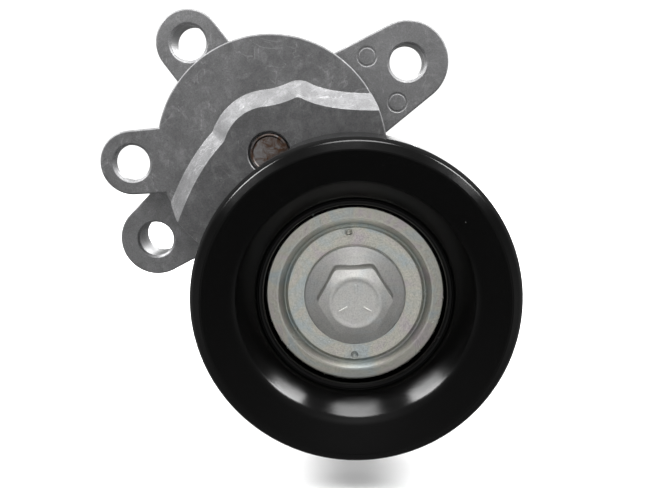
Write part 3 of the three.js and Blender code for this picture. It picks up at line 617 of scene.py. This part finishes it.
def turned_steel(name, steel, centre, pitch, rough, stain=None):
    """Turned or ground steel: rings round the axis a fraction of a millimetre apart, under a thin
    film of oil that has browned where a stain is given."""
    made, tree = new_material(name, steel)
    point = object_point(tree, centre)
    rings = noise(tree, around_axis(tree, point)[1], pitch, 3, 0.7)
    cloud = noise(tree, point, 2.5, 4, 0.65, 0.8)
    base = shade(tree, steel, (0.6, ramp(tree, rings, [(0.25, 0.6), (0.75, 1.15)])))
    if stain is not None:
        base = mix(tree, ramp(tree, cloud, [(0.36, 0.2), (0.58, 1.0)]), base, stain)
        base = mix(tree, ramp(tree, edge_mask(tree, 0.3), [(0.03, 0), (0.2, 1)]), base, steel)
    finish_material(tree, {"Metallic": 1.0},
                    {"Base Color": base, "Roughness": ramp(tree, cloud, [(0.3, rough[0]), (0.7, rough[1])])},
                    [(rings, 0.03, 0.3)])
    return made


def moulded(name, base_colour, grain_size, rough):
    """Moulded rubber or plastic: one colour with a fine skin grain and a slightly uneven sheen."""
    made, tree = new_material(name, base_colour)
    point = object_point(tree)
    grain = noise(tree, point, grain_size, 3, 0.6)
    cloud = noise(tree, point, 6.0, 3, 0.5)
    base = shade(tree, base_colour, (0.5, ramp(tree, cloud, [(0.3, 0.75), (0.7, 1.2)])))
    finish_material(tree, {"Metallic": 0.0, "IOR": 1.5},
                    {"Base Color": base, "Roughness": ramp(tree, cloud, [(0.3, rough[0]), (0.7, rough[1])])},
                    [(grain, 0.03, 0.3)])
    return made


def material(name):
    """A finish by name, made on first use from the scene's colours."""
    known = bpy.data.materials.get(name)
    if known:
        return known
    c = bpy.context.scene.tensioner_colours
    cast, cast_base, pale = c.cast[:], c.cast_base[:], c.cast_pale[:]
    zinc, bolt, tint = c.zinc[:], c.bolt[:], c.passivate[:]
    makers = {
        # painted shade: the arm's last two numbers darken its front faces and its raised web, the base's last
        # number its front faces
        "die_cast_aluminium_arm": lambda: die_cast_aluminium(name, cast, pale, 9.0, 0.86, 0.8),
        "die_cast_aluminium_base": lambda: die_cast_aluminium(name, cast_base, pale, 12.0, 0.9),
        "baked_black_paint": lambda: gloss_black_paint(name, c.paint[:]),
        # the pair of radii bounds the painted shade in the cover's groove
        "bright_zinc_cover": lambda: bright_zinc_plate(
            name, zinc, tint, 0.3, (0.17, 0.28), 0.5, (15.0, 16.2), 0.97),
        "bright_zinc_washer": lambda: bright_zinc_plate(name, zinc, tint, 0.35, (0.26, 0.34), 0.2),
        "bright_zinc_bolt": lambda: bright_zinc_plate(name, bolt, tint, 0.5, (0.36, 0.48), 0.15),
        "ground_bearing_steel": lambda: turned_steel(name, c.steel[:], PULLEY, 0.25, (0.16, 0.28)),
        "oily_turned_steel": lambda: turned_steel(name, c.steel[:], PIVOT, 0.45, (0.28, 0.42), c.shaft[:]),
        "oil_tempered_spring_steel": lambda: turned_steel(name, c.dark_steel[:], PIVOT, 0.6, (0.34, 0.5)),
        "moulded_nitrile_rubber": lambda: moulded(name, c.rubber[:], 0.4, (0.5, 0.65)),
        "moulded_filled_polymer": lambda: moulded(name, c.polymer[:], 0.5, (0.4, 0.55)),
        "moulded_glass_filled_nylon": lambda: moulded(name, c.nylon[:], 0.35, (0.45, 0.6)),
    }
    return makers[name]()


def place(made, finish, record_slot, body, *nodes):
    """Gives a piece its finish, lets it ride on a body, and shows it in place of CAD nodes.
    The record's slot that it comes from is passed in but not used."""
    made.data.materials.clear()
    made.data.materials.append(material(finish))
    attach(made, body)
    if nodes:
        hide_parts(*nodes)


# ------------------------------------------------------------------ pulley, cover and bolt

class TENSIONER_OT_pulley(bpy.types.Operator):
    """Spun steel pulley: a rolled rim, a dished face and the sleeve round the bearing"""
    bl_idname = "tensioner.pulley"
    bl_label = "Pulley"

    def execute(self, context):
        s = context.scene.tensioner_pulley
        front, rear, sheet = PULLEY_FRONT, PULLEY_REAR, s.sheet
        sleeve, rear_lip = s.seat + 2 * MM, s.seat - 1.06 * MM
        seat_end = BEARING_REAR + 0.4 * MM
        lip_front = front + s.hub_drop - 0.15 * MM
        profile = rounded([
            (PULLEY_RADIUS - 0.28 * s.edge, front + 0.5 * s.edge, 1.8 * MM),
            (PULLEY_RADIUS, front + s.edge, 1.8 * MM), (PULLEY_RADIUS, rear, 1.0 * MM),
            (PULLEY_RADIUS - sheet, rear, 0.6 * MM),
            (PULLEY_RADIUS - sheet, front + sheet + 1.2 * MM, 1.5 * MM),
            (s.ring_inner + 1.2 * MM, front + s.ring_drop + sheet, 1.5 * MM),
            (s.dish_inner + 1.9 * MM, front + s.dish_drop + sheet, 1.5 * MM),
            (sleeve, front + s.dish_drop + sheet + 2.0 * MM, 0.8 * MM),
            (sleeve, seat_end + 1 * MM, 0.5 * MM), (rear_lip, seat_end + 1 * MM, 0.2 * MM),
            (rear_lip, seat_end, 0), (s.seat, seat_end, 0),
            (s.seat, front + s.hub_drop + 0.7 * MM, 0.15 * MM),
            (s.hub_lip - 0.45 * MM, lip_front, 0.45 * MM), (s.hub_lip + 0.3 * MM, lip_front, 0.3 * MM),
            (s.hub_lip + 0.55 * MM, lip_front + 0.3 * MM, 0.15 * MM),
            (s.dish_inner, front + s.dish_drop, 1.9 * MM),
            (s.ring_inner, front + s.ring_drop, 5.0 * MM),
            (PULLEY_RADIUS - s.edge, front, 0.45 * MM),
        ], 9)
        made = piece("pulley_body", turned("pulley_body", finer(profile, 0.9 * MM), PULLEY, 320), 40)
        place(made, "baked_black_paint", "black_painted_steel",
              "pulley", "pulley_rim", "pulley_web", "pulley_hub")
        return {"FINISHED"}


class TENSIONER_OT_cover(bpy.types.Operator):
    """Pressed dust cover with a raised conical rim, a groove and two punched dimples"""
    bl_idname = "tensioner.cover"
    bl_label = "Dust cover"

    def execute(self, context):
        s = context.scene.tensioner_pulley
        y, back, outer = COVER_FRONT, COVER_FRONT + s.cover_sheet, COVER_RADIUS
        profile = rounded([
            (s.cover_bore, y, 0), (s.cover_flat, y, 0.4 * MM),
            (s.groove_from, y + s.groove, 0.4 * MM), (s.groove_to, y + s.groove, 0.4 * MM),
            (s.crest, y - COVER_CROWN, 0.5 * MM), (outer - 0.25 * MM, y - 0.15 * MM, 0.2 * MM),
            (outer, y + 0.15 * MM, 0.15 * MM), (outer, back, 0.1 * MM),
            (s.crest + 0.05 * MM, back - COVER_CROWN, 0.4 * MM), (s.groove_to, back + s.groove, 0.3 * MM),
            (s.groove_from - 0.05 * MM, back + s.groove, 0.3 * MM), (s.cover_flat - 0.2 * MM, back, 0.2 * MM),
            (s.cover_hub, back, 0), (s.cover_hub, COVER_REAR, 0), (s.cover_bore, COVER_REAR, 0),
        ], 7)
        hollow, lip, skin = 0.42 * MM, 0.07 * MM, 0.8 * MM

        def dimples(r, depth, t):
            """Two round hollows in the front skin: at d radii from its middle, a hollow falls off
            as exp(-d^4), and a faint lip stands round it."""
            x, z = r * np.cos(t), r * np.sin(t)
            lift = 0.0
            for angle in (96, -90):
                a = math.radians(angle)
                d = np.hypot(x - s.dimple_at * math.cos(a), z - s.dimple_at * math.sin(a)) / s.dimple
                lift = lift + hollow * np.exp(-d ** 4) - lip * np.exp(-((d - 1.5) / 0.5) ** 2)
            return lift * (depth < COVER_FRONT + skin)

        mesh = turned("pressed_cover", finer(profile, 0.22 * MM), PULLEY, 480, dimples)
        made = piece("pressed_cover", mesh, 50)
        place(made, "bright_zinc_cover", "zinc_plated_steel", "arm", "dust_cover")
        return {"FINISHED"}


def hexagon_at(t, half, turn, soft):
    """The distance to a hexagon's side at an angle, its corners drawn in by a smooth minimum."""
    side = half / np.cos(np.mod(t - turn, FULL / 6) - FULL / 12)
    corner = half / math.cos(FULL / 12) - soft
    return -soft * np.log(np.exp(-side / soft) + np.exp(-corner / soft))


def bolt_mesh(s, crown):
    """The bolt as rows of points, from the middle of its head out over the crown's edge, the
    chamfer, the hexagon's sides, the flange's cone and rim, and back in along the shank."""
    t = np.linspace(0, FULL, 384, endpoint=False)
    hexagon = hexagon_at(t, s.hexagon / 2, math.radians(2.5), 0.12 * MM)
    front, flange_rear = BOLT_FRONT, BOLT_FRONT + s.head
    edge, drop, hollow, foot = 0.35 * MM, 0.05 * MM, 0.16 * MM, 0.5 * MM
    top_edge = front + np.maximum(hexagon - crown, 0) * math.tan(math.radians(27))
    cone_start, cone_end = 8.2 * MM, BOLT_FLANGE - 0.35 * MM
    cone_front, cone_rear = flange_rear - 2.35 * MM, flange_rear - 1.15 * MM
    rows = []

    def row(r, y):
        rows.append(np.stack([np.broadcast_to(r, t.shape), np.broadcast_to(y, t.shape)], -1))

    def cone(r):
        """The flange's cone, straight from its neck to its rim."""
        share = np.clip((r - cone_start) / (cone_end - cone_start), -0.3, 1)
        return cone_front + (cone_rear - cone_front) * share

    for r in np.linspace(0, crown - edge, 26):
        share = min(1, max(0, (r - crown + 1.3 * MM) / (0.8 * MM)))
        row(r, front + hollow * (1 - share ** 2))
    for a in np.linspace(0.2, 1, 5):
        row(crown - edge + edge * a, front + drop * a * a)
    for a in np.linspace(0.12, 1, 9):
        row(crown + (hexagon - crown) * a, front + drop + (top_edge - front) * a)
    side_foot = cone(hexagon) - 0.55 * MM
    for a in np.linspace(0.06, 1, 10):
        row(hexagon, top_edge + drop + (side_foot - top_edge) * a)
    for a in np.linspace(0.15, 1, 6) * math.pi / 2:
        reach = hexagon + foot * (1 - math.cos(a))
        row(reach, side_foot + (cone(reach) - side_foot) * math.sin(a))
    start = hexagon + foot
    for a in np.linspace(0.08, 1, 12):
        reach = start + (cone_end - start) * a
        row(reach, cone(reach))
    for r, y in [
            (cone_end + 0.2 * MM, cone_rear + 0.12 * MM), (BOLT_FLANGE - 0.05 * MM, cone_rear + 0.33 * MM),
            (BOLT_FLANGE, cone_rear + 0.5 * MM), (BOLT_FLANGE, flange_rear - 0.3 * MM),
            (BOLT_FLANGE - 0.12 * MM, flange_rear - 0.08 * MM), (BOLT_FLANGE - 0.35 * MM, flange_rear),
            (5 * MM, flange_rear), (5 * MM, BOLT_REAR - 1 * MM), (4 * MM, BOLT_REAR), (0, BOLT_REAR)]:
        row(r, y)
    rows = np.array(rows)
    x = PULLEY_X + rows[..., 0] * np.cos(t)
    z = PULLEY_Z + rows[..., 0] * np.sin(t)
    return grid_mesh("flange_bolt", np.stack([x, rows[..., 1], z], -1), close_rows=False)


def grade_tick(angle, at):
    """A plain raised tick on the bolt's head, along a radius at an angle in degrees."""
    a, long, wide, edge = math.radians(angle), 0.95 * MM, 0.2 * MM, 0.08 * MM
    along, across = np.array([math.cos(a), math.sin(a)]), np.array([-math.sin(a), math.cos(a)])
    corners = [np.array(PULLEY) + along * (at + u * long) + across * v * wide
               for u, v in ((-1, -1), (1, -1), (1, 1), (-1, 1))]
    return plate("tick", np.array(corners), BOLT_FRONT + OVERLAP, BOLT_FRONT + 0.4 * MM, edge, 0)


class TENSIONER_OT_bolt(bpy.types.Operator):
    """Flange bolt: a chamfered hexagon on a conical flange, with plain grade ticks on its head"""
    bl_idname = "tensioner.bolt"
    bl_label = "Pulley bolt"

    def execute(self, context):
        s = context.scene.tensioner_pulley
        crown = 0.4 * s.hexagon
        made = piece("flange_bolt", bolt_mesh(s, crown), 38)
        place(made, "bright_zinc_bolt", "bolt_zinc", "arm", "pulley_bolt")
        first, *others = [grade_tick(angle, crown * 0.52) for angle in (90, 210, 330)]
        raised = piece("grade_ticks", combine(first, *(("UNION", tick) for tick in others)), 40)
        place(raised, "bright_zinc_bolt", "bolt_zinc", "arm")
        return {"FINISHED"}


# ------------------------------------------------------------------ castings

# middles, radii and radii at the root of the lug and the ears, in millimetres
LUG = {"at": (-34.0, -2.7), "radius": 7.8, "root": 8.4}
EARS = [
    {"at": (-20.3, 26.1), "radius": 8.0, "root": 8.4},
    {"at": (-29.9, -22.3), "radius": 9.0, "root": 14.6},
    {"at": (32.9, 21.4), "radius": 9.95, "root": 14.3},
]
EJECTOR_MARKS = [(23.1, 22.8), (30.6, 11.8)]

# the stop: the plane of the slot's floor in millimetres, and the slot's and the tab's angles
STOP = {"floor": -9.1, "slot": (59, 97), "tab": (88, 96)}


def mm(point):
    """A point given in millimetres, in metres."""
    return (point[0] * MM, point[1] * MM)


def ear(spec, front, rear, edge):
    """A flat ear: the outline from the pivot out round its hole, given a thickness."""
    outline = strap(PIVOT, spec["root"] * MM, mm(spec["at"]), spec["radius"] * MM)
    return plate("ear", outline, front, rear, edge)


def sector(name, inner, outer, start, end, front, rear, count, rear_edge=0.0):
    """A block between two radii and two angles round the pivot."""
    outline = np.concatenate([arc(PIVOT, outer, start, end, count), arc(PIVOT, inner, end, start, count)])
    return plate(name, outline, front, rear, 0, rear_edge)


def raised_web(s):
    """The arm's raised web with its sloped side. Its crest runs from outside the cap at the lower
    left up to the pivot's hub, round the hub as an arc, over a small peak and out to the right."""
    crest = without_repeats(np.concatenate([
        curve((-24.0, -21.6), (-18.7, -5.4), (-10.9, 2.5), 40) * MM,
        arc(PIVOT, s.crest, 160, 97, 48),
        curve((-1.33, 10.87), (2.3, 11.2), (5.9, 12.8), 24)[1:] * MM,
        curve((5.9, 12.8), (6.9, 13.35), (7.9, 12.7), 10)[1:] * MM,
        curve((7.9, 12.7), (14.8, 9.3), (31, 10.2), 40)[1:] * MM,
        np.array([mm(p) for p in ((60, 0), (60, -70), (-30, -70))]),
    ]))
    foot, root = offset(crest, s.slope), CAP_BACK + 2 * MM
    web = layers("web", [crest, foot, foot], [WEB_FRONT, CAP_FRONT + OVERLAP, root])
    outline = strap(PIVOT, s.cap, PULLEY, s.web_end, 160)
    envelope = plate("envelope", outline, WEB_FRONT - OVERLAP, CAP_BACK - OVERLAP, s.edge, 0)
    return combine(web, ("INTERSECT", envelope))


class TENSIONER_OT_arm(bpy.types.Operator):
    """Die-cast tensioner arm: round cap, thin lug, raised web with a sloped side, bearing boss"""
    bl_idname = "tensioner.arm"
    bl_label = "Arm"

    def execute(self, context):
        s = context.scene.tensioner_cast
        cap = plate("cap", arc(PIVOT, s.cap, 0, 360, 289)[:-1], CAP_FRONT, CAP_BACK, s.edge)
        seat = turned("seat", rounded([
            (0, BOSS_FRONT, 0), (s.seat, BOSS_FRONT, 0.3 * MM), (s.seat, WEB_FRONT - 0.6 * MM, 0.5 * MM),
            (s.seat + 1 * MM, WEB_FRONT + 0.5 * MM, 0), (0, WEB_FRONT + 0.5 * MM, 0)]), PULLEY, 128)
        tab = sector("tab", 23.7 * MM, 26.5 * MM, *STOP["tab"],
                     CAP_BACK - REACH, CAP_BACK + 2.4 * MM, 12, 0.3 * MM)
        pocket_front, neck_rear = WEB_FRONT + 3.4 * MM, CAP_BACK + 3.2 * MM
        mouth_rear = WEB_FRONT + 1.8 * MM
        pivot_hole = turned("pivot_hole", rounded([
            (0, WEB_FRONT - REACH, 0), (s.mouth + 1.2 * MM, WEB_FRONT - REACH, 0),
            (s.mouth, WEB_FRONT + 0.2 * MM, 0.1 * MM), (s.mouth, mouth_rear, 0),
            (s.shaft_hole, mouth_rear, 0), (s.shaft_hole, neck_rear, 0), (0, neck_rear, 0)]), PIVOT, 128)
        added = [
            ear(LUG, CAP_FRONT, CAP_BACK, s.edge), raised_web(s),
            bar(PIVOT, s.boss, CAP_BACK - REACH, CAP_BACK + 2.2 * MM), seat,
            bar(PULLEY, s.spigot, BEARING_FRONT + 1.6 * MM, BOSS_FRONT + REACH), tab]
        taken = [
            pivot_hole,
            *(sector("pocket", s.pocket, s.cap - 7 * MM, ARM_ANGLE + start, ARM_ANGLE + end, pocket_front,
                     CAP_BACK + REACH, 40) for start, end in ((7, 62), (-62, -7))),
            hole_cutter(mm(LUG["at"]), s.hole, CAP_FRONT, CAP_BACK, s.chamfer),
            bar(PULLEY, s.thread, BEARING_FRONT, CAP_BACK + REACH)]
        steps = [("UNION", tool) for tool in added] + [("DIFFERENCE", tool) for tool in taken]
        place(piece("cast_arm", combine(cap, *steps), 24), "die_cast_aluminium_arm", "cast_aluminium_arm",
              "arm", "tension_arm")
        return {"FINISHED"}


class TENSIONER_OT_base(bpy.types.Operator):
    """Die-cast base: spring cup with three bolt ears, pivot hub and ejector marks"""
    bl_idname = "tensioner.base"
    bl_label = "Base"

    def execute(self, context):
        s = context.scene.tensioner_cast
        case, front = s.cup - s.case_step, BASE_FRONT - REACH
        cup = turned("cup", rounded([
            (0, BASE_FRONT, 0), (s.cup, BASE_FRONT, 0.4 * MM), (s.cup, 0, 0.4 * MM), (case, 0, 0.5 * MM),
            (case - 0.3 * MM, BASE_REAR, 1.2 * MM), (0, BASE_REAR, 0)]), PIVOT, 256)
        added = [ear(spec, EAR_FRONT, 0, s.edge) for spec in EARS]
        taken = [
            tube(PIVOT, s.hub, s.cup - s.wall, front, BASE_REAR - 3 * MM),
            bar(PIVOT, s.hub_bore, front, -7.9 * MM), bar(PIVOT, s.bore, front, BASE_REAR + REACH),
            sector("slot", s.cup - s.wall - REACH, s.cup + REACH, *STOP["slot"],
                   front, STOP["floor"] * MM, 40),
            *(hole_cutter(mm(spec["at"]), s.hole, EAR_FRONT, 0, s.chamfer) for spec in EARS)]
        lift, floor = EAR_FRONT - 0.25 * MM, EAR_FRONT + s.mark_depth
        for centre in EJECTOR_MARKS:
            taken.append(turned("groove", rounded([
                (s.mark - 0.75 * MM, lift, 0), (s.mark + 0.35 * MM, lift, 0),
                (s.mark, floor, 0.2 * MM), (s.mark - 0.4 * MM, floor, 0.2 * MM)]), mm(centre), 64))
        steps = [("UNION", tool) for tool in added] + [("DIFFERENCE", tool) for tool in taken]
        place(piece("cast_base", combine(cup, *steps), 24), "die_cast_aluminium_base", "cast_aluminium_base",
              "base", "base_bracket")
        return {"FINISHED"}


# ------------------------------------------------------------------ pivot and the rest

class TENSIONER_OT_pivot(bpy.types.Operator):
    """Turned pivot shaft with a chamfered end, its washer and its retaining ring"""
    bl_idname = "tensioner.pivot"
    bl_label = "Pivot"

    def execute(self, context):
        shoulder, neck, journal, cut = -9.54 * MM, 4.6 * MM, 5.8 * MM, 0.9 * MM
        groove_front = span("retaining_ring")[0] - 0.12 * MM
        groove_rear = span("retaining_ring")[1] + 0.06 * MM
        profile = rounded([
            (0, SHAFT_FRONT + 0.3 * MM, 0), (neck - 0.75 * MM, SHAFT_FRONT + 0.25 * MM, 0.3 * MM),
            (neck - 0.4 * MM, SHAFT_FRONT, 0.12 * MM), (neck, SHAFT_FRONT + 0.18 * MM, 0.1 * MM),
            (neck, shoulder, 0), (journal, shoulder, 0.3 * MM), (journal, groove_front, 0.05 * MM),
            (journal - cut, groove_front, 0), (journal - cut, groove_rear, 0),
            (journal, groove_rear, 0.05 * MM), (journal, SHAFT_REAR, 0.5 * MM), (0, SHAFT_REAR, 0),
        ], 5)
        shaft = piece("turned_shaft", turned("turned_shaft", profile, PIVOT, 192), 30)
        place(shaft, "oily_turned_steel", "shaft_steel", "arm", "pivot_shaft")

        front, rear = span("rear_washer")
        inner, outer = journal + 0.15 * MM, radius_of("rear_washer")
        washer = turned("flat_washer", rounded([
            (inner, front, 0.15 * MM), (outer, front, 0.15 * MM),
            (outer, rear, 0.4 * MM), (inner, rear, 0.2 * MM)], 5), PIVOT, 192)
        washer = piece("flat_washer", washer, 40)
        place(washer, "bright_zinc_washer", "zinc_plated_steel", "arm", "rear_washer")

        front, rear = span("retaining_ring")
        outline = np.concatenate([arc(PIVOT, 8.4 * MM, -60, 240, 120), arc(PIVOT, 5.05 * MM, 240, -60, 90)])
        clip = piece("open_ring", plate("open_ring", outline, front, rear, 0.2 * MM), 30)
        place(clip, "oil_tempered_spring_steel", "spring_steel", "arm", "retaining_ring")
        return {"FINISHED"}


class TENSIONER_OT_inner(bpy.types.Operator):
    """Finishes for the bearing, seals, spring and damper pieces that keep their CAD shape"""
    bl_idname = "tensioner.inner"
    bl_label = "Inner pieces"

    def execute(self, context):
        finishes = {
            "ground_bearing_steel": ["bearing_inner_ring", "bearing_outer_ring"]
            + [f"ball_{i}" for i in range(1, 9)],
            "moulded_nitrile_rubber": ["front_seal", "rear_seal", "rim_seal"],
            "moulded_filled_polymer": ["pivot_bushing", "spring_seat", "damper_shoe"],
            "moulded_glass_filled_nylon": ["ball_cage"],
            "oil_tempered_spring_steel": ["torsion_spring", "damper_spring"],
            "bright_zinc_washer": ["rear_slinger"],
        }
        for finish, nodes in finishes.items():
            for node in nodes:
                slots = NODES[node].data.materials
                if not slots:
                    slots.append(None)
                for i in range(len(slots)):
                    slots[i] = material(finish)
        return {"FINISHED"}


# ------------------------------------------------------------------ stage

# the grey of the mirrored room by height, from the floor at 0 to the zenith at 1
ROOM = [(0.0, 0.16), (0.08, 0.18), (0.38, 0.21), (0.66, 0.3), (0.8, 0.5), (1.0, 0.55)]

# soft bright panels in the mirrored room: direction, narrowness, strength
PANELS = [
    ((0, -1, -0.2), 12, 0.38), ((0, -0.6, 0.8), 24, 0.9), ((1, 0, -0.2), 12, 0.35),
    ((-1, 0, -0.2), 12, 0.35), ((0.05, 1, 0.12), 30, 1.6), ((-0.35, 1, 0.0), 90, 2.0),
]

# oval lights: direction, size in metres, watts
SOFTBOXES = {
    "top_softbox": ((0.05, -0.17, 1.0), (0.36, 0.17), 3.2),
    "left_softbox": ((-0.73, -0.18, 0.67), (0.14, 0.27), 3.7),
    "right_softbox": ((0.73, -0.18, 0.67), (0.12, 0.25), 3.0),
    "back_softbox": ((0.06, 0.9, 0.3), (0.24, 0.12), 2.0),
}
SOFTBOX_DISTANCE = 0.62          # metres from the middle of the object


def lay_floor(colour_of_floor):
    """A wide matt floor, just below the lowest point that the pulley reaches in its swing."""
    floor_z = -math.hypot(PULLEY_X, PULLEY_Z) - PULLEY_RADIUS - 0.5 * MM
    t = np.linspace(0, FULL, 96, endpoint=False)
    radii = np.array([0.0, 0.3, 1.0, 6.0])
    points = np.stack([np.outer(radii, np.cos(t)), np.outer(radii, np.sin(t)),
                       np.full((len(radii), len(t)), floor_z)], -1)
    mesh = grid_mesh("studio_floor", points, close_rows=False)
    floor = bpy.data.objects.new("studio_floor", mesh)
    bpy.context.scene.collection.objects.link(floor)
    made, tree = new_material("matt_white_paper", colour_of_floor)
    fibre = noise(tree, object_point(tree), 1.5, 3)
    base = shade(tree, colour_of_floor, (0.5, ramp(tree, fibre, [(0.3, 0.98), (0.7, 1.0)])))
    finish_material(tree, {"Roughness": 0.9, "Specular IOR Level": 0.0}, {"Base Color": base})
    mesh.materials.append(made)
    floor.visible_glossy = False
    floor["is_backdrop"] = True


def studio_world():
    """White light all round; mirrored rays see the room with its panels instead."""
    world = bpy.data.worlds.new("studio")
    world.use_nodes = True
    tree = world.node_tree
    tree.nodes.clear()
    mirrored = add(tree, "ShaderNodeLightPath").outputs["Is Glossy Ray"]
    towards = add(tree, "ShaderNodeTexCoord").outputs["Generated"]
    height = add(tree, "ShaderNodeSeparateXYZ", {}, {"Vector": towards}).outputs["Z"]
    glow = ramp(tree, math_node(tree, "MULTIPLY_ADD", height, 0.5, 0.5), ROOM)
    for direction, narrow, strength in PANELS:
        facing = add(tree, "ShaderNodeVectorMath", {
            "operation": "DOT_PRODUCT", 1: Vector(direction).normalized()}, {0: towards})
        lobe = math_node(tree, "POWER", math_node(tree, "MAXIMUM", facing.outputs["Value"], 0.0), narrow)
        glow = math_node(tree, "MULTIPLY_ADD", lobe, strength, glow)
    room = add(tree, "ShaderNodeBackground", {"Strength": 1.0}, {"Color": glow})
    paper = add(tree, "ShaderNodeBackground", {"Color": (1, 1, 1, 1), "Strength": 1.15})
    both = add(tree, "ShaderNodeMixShader", {}, {0: mirrored, 1: paper.outputs[0], 2: room.outputs[0]})
    add(tree, "ShaderNodeOutputWorld", {}, {"Surface": both.outputs[0]})
    world.cycles.sampling_method = "NONE"
    return world


def put(name, data, at, towards):
    """An object for a lamp or a camera, at a point and turned along a direction."""
    made = bpy.data.objects.new(name, data)
    bpy.context.scene.collection.objects.link(made)
    made.location = at
    made.rotation_mode = "QUATERNION"
    made.rotation_quaternion = towards.to_track_quat("-Z", "Y")
    return made


class TENSIONER_OT_stage(bpy.types.Operator):
    """Pale floor, soft studio lights and the camera"""
    bl_idname = "tensioner.stage"
    bl_label = "Stage"

    def execute(self, context):
        scene = context.scene
        low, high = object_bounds()
        centre = (low + high) / 2
        lay_floor(scene.tensioner_colours.floor[:])
        scene.world = studio_world()
        for name, (way, size, watts) in SOFTBOXES.items():
            data = bpy.data.lights.new(name, "AREA")
            data.shape, data.energy = "ELLIPSE", watts
            data.size, data.size_y = size
            way = Vector(way).normalized()
            put(name, data, centre + SOFTBOX_DISTANCE * way, -way)

        data = bpy.data.cameras.new("camera")
        data.lens, data.sensor_width = 44.3, 36.0
        data.clip_start, data.clip_end = 0.005, 50
        azimuth, elevation, distance = math.radians(1.31), math.radians(10.03), 190 * MM
        aim = Vector((0.655 * PULLEY_X, -22 * MM, 0.714 * PULLEY_Z))
        back = Vector((math.sin(azimuth) * math.cos(elevation), -math.cos(azimuth) * math.cos(elevation),
                       math.sin(elevation)))
        scene.camera = put("camera", data, aim + distance * back, -back)
        scene.view_settings.view_transform = "Standard"
        return {"FINISHED"}


class TENSIONER_PT_panel(bpy.types.Panel):
    """Lists the tensioner's sizes, colours and steps"""
    bl_idname = "TENSIONER_PT_panel"
    bl_label = "Belt tensioner"
    bl_space_type = "VIEW_3D"
    bl_region_type = "UI"
    bl_category = "Tensioner"

    def draw(self, context):
        for group_name in GROUPS:
            group = getattr(context.scene, group_name)
            box = self.layout.box()
            for name in group.bl_rna.properties.keys():
                if name not in {"rna_type", "name"}:
                    box.prop(group, name)
        for operator in OPERATORS:
            self.layout.operator(operator.bl_idname)


OPERATORS = (
    TENSIONER_OT_base, TENSIONER_OT_arm, TENSIONER_OT_pivot, TENSIONER_OT_pulley,
    TENSIONER_OT_cover, TENSIONER_OT_bolt, TENSIONER_OT_inner, TENSIONER_OT_stage,
)
GROUPS = {
    "tensioner_pulley": TensionerPulleySizes,
    "tensioner_cast": TensionerCastSizes,
    "tensioner_colours": TensionerColours,
}


def register():
    for group in GROUPS.values():
        bpy.utils.register_class(group)
    for name, group in GROUPS.items():
        setattr(bpy.types.Scene, name, bpy.props.PointerProperty(type=group))
    for cls in (*OPERATORS, TENSIONER_PT_panel):
        bpy.utils.register_class(cls)


def unregister():
    for cls in (*OPERATORS, TENSIONER_PT_panel):
        bpy.utils.unregister_class(cls)
    for name, group in GROUPS.items():
        delattr(bpy.types.Scene, name)
        bpy.utils.unregister_class(group)


def main():
    register()
    for operator in OPERATORS:
        category, name = operator.bl_idname.split(".")
        getattr(getattr(bpy.ops, category), name)()


if __name__ == "__main__":
    main()
